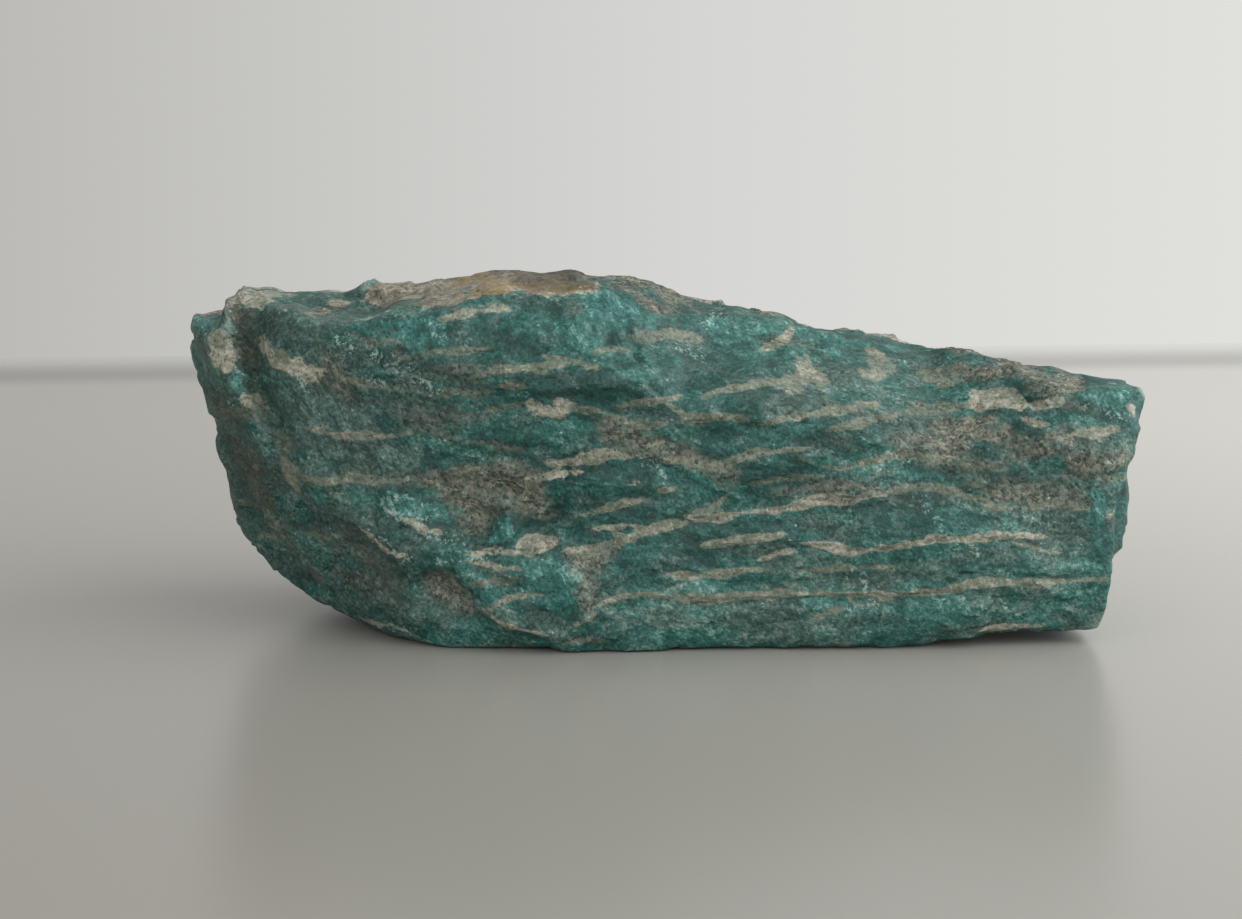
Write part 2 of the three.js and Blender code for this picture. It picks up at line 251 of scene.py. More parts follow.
# The facet left of the middle split cleanly, so its chips are low and it has fine steep striae.
CLEAN_FACET = ((-37.5, 27.0), (-30.5, 27.8), (-26.0, 25.5), (-22.0, 24.0), (-21.5, 18.5),
               (-24.0, 15.6), (-31.0, 15.2), (-36.5, 17.0), (-38.5, 22.0))
clean = ease(-to_patch(CLEAN_FACET), -0.6, 1.2) * front
# Granular places, each with its reserve: the more, the more green is left in it.
GRANULAR = (
    (0.0, ((-25.4, 16.4), (-22.4, 17.0), (-19.0, 17.8), (-15.0, 18.4), (-11.6, 17.4),
           (-10.4, 15.4), (-10.2, 12.8), (-11.6, 12.0), (-13.6, 12.8), (-14.4, 13.4),
           (-15.8, 12.0), (-16.8, 10.4), (-18.6, 11.4), (-20.6, 13.6), (-22.4, 15.0))),
    (-0.3, ((-6.6, 22.4), (-3.5, 21.5), (-1.0, 20.8), (1.8, 19.8), (4.0, 18.2), (3.4, 17.2),
            (1.0, 18.3), (-2.0, 19.2), (-5.0, 20.0))),
    (-0.2, ((3.2, 18.2), (5.0, 18.4), (7.4, 17.0), (6.6, 15.8), (4.6, 16.4))),
    (-0.3, ((10.5, 15.3), (12.5, 15.8), (16.0, 16.2), (20.5, 15.7), (18.0, 14.9), (13.0, 14.6))),
    (-0.2, ((-9.2, 10.0), (-6.5, 10.2), (-4.0, 10.0), (-5.5, 8.0), (-6.2, 6.0), (-6.4, 4.2),
            (-7.6, 4.4), (-8.0, 7.0), (-8.9, 8.6))),
    (0.0, ((-20.8, 8.4), (-19.2, 7.2), (-17.4, 5.2), (-16.6, 3.8), (-18.0, 3.4), (-20.4, 3.8),
           (-22.4, 4.4), (-22.4, 6.8))),
    (0.5, ((21.0, 20.8), (24.0, 21.3), (30.0, 21.5), (36.0, 21.0), (38.2, 19.0), (37.2, 17.6),
           (30.0, 16.8), (24.0, 17.0), (21.4, 18.0))),
    (0.5, ((-33.2, 28.2), (-31.4, 28.1), (-29.4, 27.0), (-28.8, 25.0), (-29.4, 23.3),
           (-31.0, 23.7), (-32.2, 24.8))),
    (1.4, ((-25.5, 27.4), (-20.0, 28.0), (-16.0, 27.0), (-14.0, 25.2), (-14.5, 22.0),
           (-17.0, 20.0), (-22.0, 19.5), (-26.0, 21.0))),
    (0.8, ((-27.0, 29.0), (-21.0, 28.9), (-20.0, 27.0), (-25.0, 26.6))),
    (0.4, ((-28.3, 29.6), (-26.0, 29.5), (-24.1, 29.2), (-22.2, 28.9), (-21.1, 28.4),
           (-22.6, 28.0), (-25.0, 28.3), (-27.8, 28.7))),
    (1.0, ((-22.0, 22.0), (-13.5, 20.2), (-9.5, 18.4), (-10.0, 17.4), (-18.0, 18.4),
           (-23.0, 19.0))),
    (0.7, ((26.5, 16.6), (33.0, 16.6), (39.5, 16.0), (41.0, 14.4), (40.6, 13.2), (36.0, 12.8),
           (31.0, 13.2))),
    (0.4, ((37.0, 19.4), (42.0, 19.2), (45.6, 19.6), (45.2, 16.2), (43.0, 15.8), (38.0, 16.0))),
    (0.8, ((-31.0, 11.6), (-28.5, 10.4), (-26.5, 8.8), (-25.0, 6.4), (-24.2, 4.4), (-25.6, 4.6),
           (-27.4, 7.4), (-30.0, 9.8))),
    (0.6, ((27.4, 25.5), (29.0, 25.8), (36.0, 25.0), (38.0, 24.4), (33.0, 23.9), (28.6, 24.3))),
    (-0.2, ((29.0, 25.4), (33.0, 24.9), (38.4, 24.3), (40.0, 24.6), (39.0, 26.5), (28.0, 28.0))),
    (0.2, ((3.0, 32.4), (9.0, 30.9), (15.5, 29.3), (16.5, 30.5), (16.0, 32.0), (3.0, 34.0))),
    (0.9, ((-45.4, 23.6), (-42.6, 23.4), (-38.6, 18.4), (-37.0, 13.0), (-34.6, 8.4), (-31.2, 4.6),
           (-33.4, 3.4), (-39.4, 9.4), (-42.6, 16.0))),
    (1.2, ((-34.0, 12.0), (-29.0, 12.0), (-25.0, 8.0), (-23.4, 4.0), (-26.0, 2.6), (-31.0, 4.2),
           (-34.4, 8.2))),
    (0.2, ((-42.4, 31.8), (-40.6, 31.0), (-39.0, 26.0), (-39.6, 24.6), (-40.8, 27.0),
           (-41.2, 30.0))),
    (1.5, ((9.0, 21.4), (20.0, 21.0), (22.0, 20.0), (16.0, 19.6), (8.0, 20.0))),
    (0.4, ((-8.3, 33.5), (-4.8, 33.0), (-2.9, 32.7), (-0.9, 32.3), (0.9, 31.6), (3.0, 31.4),
           (3.0, 36.0), (-8.3, 36.0))),
)
FAR_OFF = 6.0
GRAIN_DEPTH = 1.3
granular = np.full(len(x), FAR_OFF)
for reserve, outline in GRANULAR:
    granular = np.minimum(granular, np.maximum(to_patch(outline), -GRAIN_DEPTH) + reserve)
granular += 3.5 * cloud((6.0, 5.0, 5.0), 37.9, 3) * upward
# Away from the broad front, what a name with hidden_ holds comes from noise instead.
hidden_grain = 3.3 - 9.0 * cloud((13.0, 11.0, 5.0), 31.7, 2)
granular = granular * front + hidden_grain * (1.0 - front)
granular_share = ease(-granular, -0.8, 0.8)

# Chips of three sizes. The back is rougher than the front and has the big ones too, the clean
# facet has low ones, and the right end's edge broke finely.
CHIPS_IN_FRONT = 0.4
CHIPS_BEHIND = 0.8
SMALL_CHIPS = 0.9
BIG_CHIPS_BEHIND = 0.8
big_chips = cleavage((13.0, 11.0, 6.0), rise=1.2, tilt=1.6, seed=8.7)
chips = cleavage((6.5, 5.5, 3.0), rise=0.6, tilt=1.3, seed=3.1)
small_chips = cleavage((2.6, 2.2, 1.3), rise=0.24, tilt=0.6, seed=17.9)
behind = ease(facing[:, 1], 0.0, 0.5)
broken_edge = ease(x, 39.0, 41.5)
chipping = chips * (CHIPS_IN_FRONT + (CHIPS_BEHIND - CHIPS_IN_FRONT) * behind)
chipping += small_chips * SMALL_CHIPS + big_chips * BIG_CHIPS_BEHIND * behind
chipping *= (1.0 - 0.75 * clean) * (1.0 - 0.6 * broken_edge)
# Granular places are lumpy, and so is the weathered top, which dips on the way to its right end.
TOP_DIP = 0.35
chipping += cloud((1.9, 1.9, 1.5), 5.3) * (0.06 + 0.16 * granular_share) * (1.0 - 0.5 * clean)
chipping += 0.3 * cloud((3.2, 3.2, 2.4), 23.3) * upward
chipping -= TOP_DIP * upward * ease(x, 11.0, 16.0) * ease(-x, -33.0, -28.0)
# The striae run up the clean facet: their width, length and depth, and the way across them.
STRIA_WIDTH = 0.5
STRIA_LENGTH = 6.0
STRIA_DEPTH = 0.13
ACROSS_STRIAE = (0.82, 0.30, 0.57)
across = place @ np.array(ACROSS_STRIAE) / STRIA_WIDTH
striae = np.array([noise.noise((a, u, 2.0)) for a, u in zip(across, z / STRIA_LENGTH)])
chipping += STRIA_DEPTH * striae * clean
# The crown broke across the sheets, into short upright splinters.
CROWN = ((-12.0, 31.9), (-8.2, 32.5), (-5.8, 32.7), (-1.0, 31.8), (-1.4, 29.4), (-4.6, 28.6),
         (-9.0, 28.4), (-11.6, 29.6))
SPLINTER_WIDTH = 0.9
SPLINTER_LENGTH = 2.6
SPLINTER_DEPTH = 0.30
crown = ease(-to_patch(CROWN), -0.6, 0.8) * front
across = (x + 0.25 * z) / SPLINTER_WIDTH
splinters = np.array([noise.noise((a, u, 6.0)) for a, u in zip(across, z / SPLINTER_LENGTH)])
chipping += SPLINTER_DEPTH * splinters * crown

# The chips go on first, rounded a little, and the sharper lips on top, all within the solid's box.
move(stone, place + facing * (chipping * above_rest)[:, None])
soften(stone, factor=0.25, passes=1)
place, facing = measure(stone)
place = np.clip(
    place + facing * (lips * above_rest)[:, None], np.array(low) / MM, np.array(high) / MM
)
move(stone, place)
facing = measure(stone)[1]

# Edges that stand proud of their surroundings are rubbed and crushed pale. The same measure also
# paints highlight onto proud edges and shade into hollows, through the green's lightness.
around = stone.copy()
soften(around, factor=0.5, passes=6)
proud = np.sum((place - measure(around)[0]) * facing, axis=1)
around.free()
x = place[:, 0]
y = place[:, 1]
z = place[:, 2]

# The albite sheets thin to nothing at their ends: paleness (0 dull, 1 white), half thickness, line.
SHEETS = (
    (0.9, 0.75, ((-38.4, 28.2), (-36.8, 26.8), (-35.2, 26.3), (-33.5, 26.2), (-31.5, 26.0))),
    (0.3, 0.40, ((-32.5, 26.1), (-30.1, 25.4), (-27.3, 25.0), (-24.8, 24.6))),
    (0.5, 0.48, ((-34.2, 20.7), (-31.1, 20.2), (-28.6, 20.1), (-25.4, 20.1), (-23.4, 20.6))),
    (0.3, 0.45, ((-21.6, 24.1), (-19.0, 24.4), (-17.0, 24.4), (-15.4, 24.7))),
    (0.1, 0.60, ((-44.6, 21.4), (-41.0, 21.4), (-37.4, 21.6))),
    (0.1, 0.50, ((-42.6, 16.5), (-40.6, 16.6), (-38.6, 16.8))),
    (0.4, 0.52, ((-35.4, 16.0), (-33.0, 15.6), (-31.2, 15.8), (-29.0, 16.0), (-27.0, 15.9),
                 (-24.6, 15.8))),
    (0.6, 0.60, ((-36.4, 16.5), (-35.6, 15.2), (-34.7, 14.2))),
    (0.1, 0.50, ((-42.4, 11.7), (-40.0, 11.8), (-38.0, 12.0))),
    (0.1, 0.40, ((-40.4, 8.3), (-38.6, 8.6), (-36.8, 8.9))),
    (0.25, 0.45, ((-34.6, 9.9), (-32.0, 10.0), (-29.6, 10.4))),
    (0.9, 0.26, ((-28.8, 11.5), (-27.4, 10.6), (-26.4, 9.4), (-25.2, 9.0), (-23.6, 9.2))),
    (1.0, 0.30, ((-26.2, 13.5), (-24.8, 12.8), (-23.4, 12.4), (-22.0, 11.4), (-20.6, 11.2))),
    (0.9, 0.26, ((-30.0, 1.6), (-27.5, 1.3), (-26.0, 1.6), (-24.0, 1.4))),
    (0.6, 0.62, ((-21.2, 30.9), (-19.0, 31.5), (-17.0, 31.9), (-15.2, 31.9), (-13.8, 31.7))),
    (0.3, 0.40, ((-22.4, 28.1), (-19.2, 28.2), (-17.0, 28.4), (-16.0, 28.6))),
    (0.55, 0.42, ((-17.8, 25.9), (-14.8, 26.8), (-13.2, 26.9), (-11.4, 26.9), (-8.8, 27.1))),
    (0.5, 0.36, ((-11.2, 27.9), (-9.4, 27.6), (-8.2, 27.4), (-5.6, 26.9))),
    (0.4, 0.36, ((-6.4, 28.1), (-4.6, 28.4), (-2.8, 28.0))),
    (0.5, 0.34, ((-15.2, 25.2), (-14.0, 25.1), (-12.8, 25.1))),
    (0.4, 0.36, ((-16.6, 22.7), (-14.6, 23.1), (-12.8, 23.5))),
    (0.5, 0.46, ((-8.6, 23.2), (-6.0, 23.0), (-4.5, 22.3), (-2.5, 21.6), (-0.5, 21.5),
                 (1.0, 22.0))),
    (0.4, 0.40, ((-4.4, 23.2), (-2.0, 23.7), (-0.4, 23.9), (2.0, 24.1))),
    (0.5, 0.62, ((-2.6, 29.2), (-1.2, 29.1), (0.0, 29.2), (1.5, 29.3), (2.8, 28.9), (4.2, 28.4))),
    (0.8, 0.40, ((9.8, 27.4), (11.4, 27.8), (13.0, 28.5), (13.6, 29.2))),
    (0.6, 0.50, ((3.6, 23.9), (5.0, 24.3), (6.4, 24.6), (8.4, 24.8), (10.4, 24.9), (12.4, 25.0),
                 (14.4, 25.0))),
    (0.6, 0.34, ((10.6, 24.6), (12.0, 24.5), (13.6, 24.3))),
    (0.6, 0.55, ((0.4, 23.7), (1.6, 23.0), (2.4, 22.4), (3.8, 22.3), (5.0, 22.3), (6.4, 22.3),
                 (8.2, 22.0))),
    (0.5, 0.44, ((9.0, 21.7), (11.4, 22.1), (13.0, 22.4), (14.6, 22.5), (16.4, 22.6), (18.4, 22.8),
                 (21.0, 22.7))),
    (1.0, 0.30, ((12.3, 22.1), (13.3, 22.1))),
    (0.5, 0.38, ((15.6, 21.1), (17.6, 21.3), (19.6, 21.6), (21.6, 21.9), (23.0, 22.0))),
    (0.6, 0.34, ((20.4, 27.0), (21.2, 26.7), (22.2, 26.2))),
    (0.5, 0.50, ((2.6, 17.2), (4.4, 17.6), (6.4, 18.1), (8.6, 18.8), (10.0, 19.0), (12.0, 19.4),
                 (14.2, 19.3))),
    (0.4, 0.40, ((12.8, 18.6), (14.4, 17.9), (16.4, 17.4), (18.0, 17.6), (20.2, 18.2), (22.0, 18.5),
                 (24.4, 18.2), (27.8, 17.6))),
    (0.3, 0.34, ((8.2, 16.0), (10.4, 16.3), (12.4, 16.7), (15.9, 16.7))),
    (0.35, 0.40, ((-16.4, 17.4), (-14.2, 17.6), (-13.0, 17.6))),
    (0.7, 0.60, ((-10.9, 17.8), (-8.0, 18.0), (-6.6, 18.3), (-4.8, 18.9), (-2.6, 19.0),
                 (-0.9, 18.6))),
    (0.8, 0.42, ((-13.4, 16.2), (-11.0, 16.5), (-9.6, 16.8), (-7.2, 17.1))),
    (0.3, 0.50, ((-19.4, 14.6), (-17.0, 14.8), (-14.4, 15.0))),
    (0.9, 0.28, ((-3.2, 15.8), (-2.4, 16.1), (-1.8, 16.4))),
    (0.7, 0.34, ((-1.2, 15.2), (0.5, 15.4), (2.6, 15.7))),
    (0.6, 0.40, ((-8.6, 12.6), (-6.6, 13.2), (-5.0, 13.8), (-3.6, 14.2), (-1.6, 14.6))),
    (0.8, 0.34, ((-6.8, 11.8), (-4.0, 12.0), (-1.4, 12.1))),
    (0.6, 0.66, ((-9.4, 9.9), (-7.0, 9.9), (-5.0, 10.0), (-3.8, 10.6), (-2.4, 11.2), (-0.6, 11.8),
                 (0.8, 12.0), (2.6, 12.3))),
    (0.7, 0.45, ((2.2, 13.0), (3.6, 12.5), (5.6, 12.7), (7.4, 13.2), (9.0, 13.4), (10.6, 13.4),
                 (12.4, 13.7))),
    (0.5, 0.36, ((3.0, 13.2), (4.6, 13.6), (5.6, 14.4), (6.6, 15.1))),
    (0.85, 0.58, ((11.6, 13.6), (13.2, 14.0), (14.6, 14.4), (16.4, 14.5), (18.0, 14.4),
                  (19.6, 14.9), (21.4, 14.9))),
    (0.5, 0.44, ((21.0, 15.0), (24.3, 15.7), (26.4, 15.3), (28.9, 14.6), (31.4, 13.8),
                 (33.4, 13.5))),
    (0.7, 0.44, ((3.8, 10.2), (6.4, 10.6), (8.4, 10.8), (10.2, 11.0), (11.8, 11.4))),
    (0.7, 0.34, ((9.0, 8.8), (10.8, 9.4), (12.8, 9.8))),
    (0.95, 0.54, ((12.0, 10.7), (15.0, 10.2), (16.4, 9.9), (18.0, 9.7), (20.0, 9.9), (22.0, 10.1),
                  (24.0, 10.4), (26.4, 10.6), (28.4, 10.8), (30.4, 10.8), (32.4, 11.0),
                  (34.4, 10.9), (36.6, 10.7))),
    (0.7, 0.32, ((33.0, 10.4), (35.0, 9.7), (36.6, 9.4), (38.6, 9.0))),
    (0.7, 0.50, ((0.6, 7.5), (3.0, 7.2), (4.4, 7.4), (6.6, 7.8), (9.6, 7.9))),
    (0.35, 0.36, ((12.4, 7.9), (15.0, 7.9), (18.0, 8.0), (20.0, 8.1), (22.4, 8.1))),
    (0.6, 0.50, ((-7.0, 4.2), (-5.0, 5.0), (-3.6, 5.5), (-2.0, 5.7), (0.0, 5.5), (2.0, 5.1),
                 (4.0, 5.1), (8.5, 5.6), (12.0, 5.6), (16.0, 5.5), (20.0, 5.5), (22.0, 5.3),
                 (24.0, 5.5), (27.6, 5.8), (29.0, 6.5), (31.0, 6.6), (34.6, 6.5), (38.4, 6.4),
                 (42.9, 6.6))),
    (0.6, 0.28, ((17.6, 5.2), (18.4, 4.5), (19.4, 4.4), (20.8, 4.8))),
    (0.4, 0.40, ((14.4, 3.2), (15.8, 3.7), (17.4, 4.2))),
    (0.4, 0.26, ((-9.4, 1.0), (-7.0, 1.4), (-5.0, 1.3))),
    (0.5, 0.40, ((23.4, 22.1), (26.0, 22.0), (28.6, 22.3), (30.8, 22.5))),
    (0.9, 1.15, ((29.8, 22.5), (31.6, 23.0), (33.0, 23.1), (35.0, 22.6))),
    (0.7, 0.40, ((34.4, 21.5), (36.0, 21.2), (37.0, 21.1))),
    (0.6, 0.45, ((35.4, 22.4), (37.0, 22.8), (38.8, 23.2))),
    (0.6, 0.48, ((37.2, 19.9), (39.6, 20.3), (41.6, 20.5), (44.0, 20.6))),
    (1.0, 0.30, ((44.8, 22.8), (45.5, 21.6))),
    (0.4, 0.34, ((28.0, 17.6), (30.0, 17.4), (32.6, 17.1))),
    (0.5, 0.34, ((31.8, 15.6), (34.0, 15.4), (35.4, 15.4))),
    (0.5, 0.40, ((34.2, 13.4), (38.1, 13.7), (41.0, 13.3))),
    (0.5, 0.34, ((41.2, 16.1), (44.4, 16.0))),
    (0.9, 0.40, ((29.8, 1.7), (32.0, 1.9), (34.0, 2.0), (36.4, 2.0))),
    (0.35, 0.45, ((-18.4, 6.5), (-16.0, 6.9), (-14.4, 7.2), (-13.0, 7.4))),
    (0.7, 0.40, ((-16.6, 4.2), (-14.6, 5.2), (-13.4, 5.7), (-11.0, 5.9))),
    (0.9, 0.28, ((-17.0, 4.4), (-16.0, 3.6), (-14.6, 2.8), (-12.4, 2.3), (-10.4, 1.9))),
    (0.7, 0.26, ((-8.6, 2.8), (-7.2, 3.4), (-6.2, 3.9))),
    (0.9, 0.28, ((-19.4, 9.6), (-17.4, 9.4), (-16.0, 9.6), (-14.4, 9.9), (-12.8, 9.6))),
    (0.9, 0.26, ((-18.4, 8.8), (-16.0, 8.4), (-14.4, 8.2), (-12.4, 8.4))),
    (0.8, 0.85, ((-13.6, 10.0), (-12.4, 10.4), (-11.0, 10.4), (-9.6, 10.8))),
    (0.7, 0.40, ((0.0, 18.2), (1.2, 18.3), (2.6, 18.1))),
    (0.9, 0.26, ((42.2, 12.5), (43.4, 13.1))),
)
# Where a sheet's flat side lies in the surface, it shows as a patch: paleness and outline.
PALE_PATCHES = (
    (0.9, ((-44.1, 28.5), (-42.9, 29.2), (-41.1, 28.5), (-40.7, 27.3), (-41.1, 26.3),
           (-41.9, 25.3), (-42.6, 25.5), (-43.6, 27.2))),
    (0.8, ((-40.3, 23.2), (-39.7, 23.5), (-38.5, 22.4), (-38.4, 21.0), (-39.2, 21.2),
           (-40.0, 22.0))),
    (0.2, ((-37.9, 20.5), (-36.6, 20.0), (-35.5, 19.3), (-34.9, 18.2), (-35.8, 17.7),
           (-37.0, 18.7))),
    (0.6, ((-36.6, 17.6), (-35.6, 17.3), (-34.5, 16.4), (-34.6, 15.0), (-35.5, 15.2),
           (-36.3, 16.4))),
    (0.8, ((-39.0, 28.2), (-38.0, 29.0), (-36.8, 28.2), (-35.4, 27.4), (-33.8, 26.7),
           (-32.8, 25.8), (-32.6, 25.0), (-34.0, 25.2), (-35.8, 26.0), (-37.2, 27.0),
           (-38.7, 27.3))),
    (0.9, ((-42.6, 31.2), (-42.2, 34.0), (-38.0, 34.0), (-36.0, 32.7), (-37.6, 31.9),
           (-39.4, 31.6))),
    (1.0, ALBITE_BLOCK),
    (0.8, ((12.9, 26.3), (13.7, 26.7), (14.7, 26.5), (15.1, 25.9), (15.8, 25.3), (16.4, 24.8),
           (16.2, 24.4), (15.4, 24.3), (14.0, 24.7), (12.8, 24.9), (13.2, 25.7))),
    (0.7, ((19.4, 25.6), (21.1, 25.6), (23.0, 25.5), (22.9, 25.0), (21.4, 24.4), (20.1, 24.4),
           (19.2, 25.0))),
    (0.4, ((25.8, 25.3), (26.8, 25.2), (27.6, 24.9), (28.3, 24.5), (28.6, 24.0), (27.7, 23.9),
           (26.6, 24.1), (25.7, 24.7))),
    (0.6, ((20.7, 26.9), (21.7, 26.7), (22.4, 26.2), (22.6, 25.6), (21.7, 25.8), (21.1, 26.4))),
)
# Each sheet's edge wavers. Its half thickness is this share of the full one at its ends, and this
# much more of it in the middle.
AT_ENDS = 0.16
IN_MIDDLE = 0.72
WAVER = 0.9
waver = cloud((2.6, 2.6, 1.4), 44.1, 2)
sheet = np.full(len(x), FAR_OFF)
paleness = np.zeros(len(x))
for pale, outline in PALE_PATCHES:
    off = 0.3 * to_patch(outline) + 0.2 * waver
    paleness = np.where(off < sheet, pale, paleness)
    sheet = np.minimum(sheet, off)
for pale, thickness, line in SHEETS:
    off, _, along = to_line(line)
    taper = np.sqrt(np.clip(4.0 * along * (1.0 - along), 0.0, 1.0))
    off = off - thickness * (AT_ENDS + IN_MIDDLE * taper) * (1.0 + WAVER * waver)
    paleness = np.where(off < sheet, pale, paleness)
    sheet = np.minimum(sheet, off)

# Away from the broad front the sheets run through the stone as long lenses, about 4.4 mm apart.
SHEET_SPACING = 4.4
LENS_LENGTH = 11.0
LENS_DEPTH = 9.0
LENS_THIN = 0.22
LENS_THICK = 1.1
depth = z + 1.6 * cloud((22.0, 16.0, 14.0), 7.7) + 0.5 * cloud((6.0, 5.0, 4.0), 9.2)
order = np.floor(depth / SHEET_SPACING)
lens_x = x / LENS_LENGTH + order * 17.3
lens_y = y / LENS_DEPTH + order * 5.1
lens = np.array([noise.noise(p) for p in zip(lens_x, lens_y, order * 0.73)])
hidden = np.abs(depth - (order + 0.5) * SHEET_SPACING) - (LENS_THIN + LENS_THICK * lens)
hidden = hidden * (1.0 + 0.3 * waver)
hidden_pale = 0.6 + 0.6 * cloud((9.0, 9.0, 5.0), 61.0)
# Round the edge of the front, the drawn sheets give way to the hidden ones.
APART = 5.0
drawn = sheet + APART * (1.0 - front)
hidden = hidden + APART * front
paleness = np.where(drawn < hidden, paleness, hidden_pale)
sheet = np.minimum(drawn, hidden)

# On top, where the outlines meet the surface at a slant, their edges wander more.
ripple = 1.5 * cloud((5.0, 4.0, 4.0), 33.3, 3) * upward


def patches(outlines, softness):
    """A share from 0 to 1: inside any of the drawn outlines on the broad front."""
    nearest = np.full(len(x), FAR_OFF)
    for outline in outlines:
        nearest = np.minimum(nearest, to_patch(outline))
    return ease(-nearest - ripple, -softness, softness) * front


# Clear turquoise shows where a chip came off lately, and on thin edges that light gets into.
# The real stone lets a little light through there; here that is a paler colour.
TURQUOISE = (
    ((-21.9, 31.7), (-20.6, 32.2), (-18.1, 32.7), (-15.5, 33.0), (-13.4, 32.9), (-13.9, 32.4),
     (-16.2, 32.4), (-18.8, 32.2), (-20.4, 31.7)),
    ((-29.5, 30.5), (-24.0, 31.6), (-18.0, 32.5), (-20.5, 30.6), (-20.0, 29.0), (-24.0, 28.4),
     (-27.0, 29.0)),
    ((-10.7, 32.1), (-8.2, 32.5), (-6.0, 33.0), (0.5, 31.6), (0.0, 29.6), (-3.6, 29.2),
     (-6.7, 28.7), (-9.0, 28.6), (-10.0, 30.5)),
    ((5.0, 30.0), (8.0, 29.8), (11.6, 29.3), (12.0, 28.6), (10.0, 28.2), (6.0, 28.4)),
    CLEAR_CHIP,
    CLEAR_TOOTH,
    ((-42.0, 25.4), (-40.9, 25.7), (-40.1, 24.6), (-39.7, 23.3), (-40.6, 23.1), (-41.7, 24.0)),
    ((-36.2, 25.8), (-35.2, 25.0), (-34.4, 23.4), (-34.8, 23.2), (-35.8, 24.6)),
    ((-34.0, 14.8), (-32.5, 15.0), (-31.6, 13.6), (-32.2, 12.8), (-33.2, 13.4)),
    ((-12.0, 21.8), (-7.4, 22.2), (-6.2, 20.8), (-8.6, 19.4), (-11.4, 20.2)),
    ((-9.2, 11.4), (-8.2, 11.6), (-8.0, 10.2), (-9.6, 9.2), (-10.8, 8.8), (-10.0, 9.8)),
    ((-17.8, 6.4), (-15.0, 6.6), (-14.8, 5.4), (-16.6, 4.7)),
    ((-13.4, 8.6), (-10.6, 9.0), (-8.4, 8.0), (-7.4, 5.6), (-8.8, 3.6), (-11.6, 4.8), (-13.4, 6.6)),
    ((-1.2, 18.4), (1.0, 17.8), (3.0, 16.4), (5.6, 15.4), (7.6, 14.6), (5.0, 14.6), (2.0, 15.2),
     (-0.6, 17.2)),
    ((24.0, 15.4), (25.2, 15.0), (26.2, 13.6), (27.2, 11.4), (26.4, 11.2), (25.2, 13.2)),
    ((38.0, 24.0), (44.8, 23.8), (44.8, 22.6), (40.0, 22.8)),
    ((40.4, 15.0), (41.9, 15.2), (42.2, 12.2), (41.9, 8.4), (40.9, 10.3)),
    ((13.0, 30.0), (18.0, 28.0), (24.0, 26.6), (28.0, 25.6), (26.0, 25.4), (19.0, 26.8),
     (14.0, 28.0)),
    ((-45.6, 30.6), (-43.6, 31.0), (-42.6, 30.0), (-43.6, 29.4), (-45.2, 29.4)),
)
turquoise = patches(TURQUOISE, 0.7)
turquoise += 0.8 * ease(cloud((13.0, 11.0, 7.0), 14.3, 2), 0.12, 0.42) * (1.0 - front)

# The deepest green is left where a clean lens of feldspar shows.
DEEP = (
    ((-41.8, 31.6), (-39.2, 31.4), (-38.4, 28.6), (-38.7, 25.2), (-40.4, 25.6), (-41.0, 28.0)),
    ((-17.1, 30.8), (-15.2, 31.5), (-12.4, 31.9), (-11.0, 31.0), (-10.6, 29.6), (-12.3, 28.4),
     (-15.1, 28.2), (-16.8, 29.4)),
    ((-5.7, 29.9), (-4.2, 30.3), (-3.3, 29.5), (-3.6, 28.4), (-5.2, 28.5)),
    ((3.8, 26.4), (5.8, 26.8), (7.6, 27.0), (7.5, 26.0), (5.2, 25.1), (2.8, 25.1), (0.7, 25.6),
     (1.5, 26.6)),
    ((19.5, 28.4), (22.4, 28.0), (24.9, 27.2), (25.9, 26.5), (24.4, 26.3), (21.9, 26.9),
     (20.2, 27.4)),
    ((-10.4, 26.4), (-6.0, 26.4), (-3.6, 25.4), (-4.4, 23.6), (-9.0, 23.8), (-11.0, 24.6)),
    ((0.0, 28.2), (3.4, 28.0), (4.4, 26.4), (3.0, 24.8), (0.2, 24.6)),
    ((-11.9, 8.9), (-9.1, 8.8), (-9.4, 7.6), (-11.8, 7.8)),
    ((-7.6, 17.8), (-1.6, 18.0), (0.4, 16.4), (-2.0, 14.8), (-7.0, 14.6)),
    ((6.0, 17.4), (12.0, 18.6), (18.0, 16.8), (14.0, 16.4), (8.0, 15.0)),
    ((5.4, 28.0), (12.0, 27.2), (12.0, 26.0), (6.0, 25.8)),
)
deep = patches(DEEP, 0.8) + ease(cloud((11.0, 10.0, 4.0), 52.9, 2), 0.05, 0.35) * (1.0 - front)

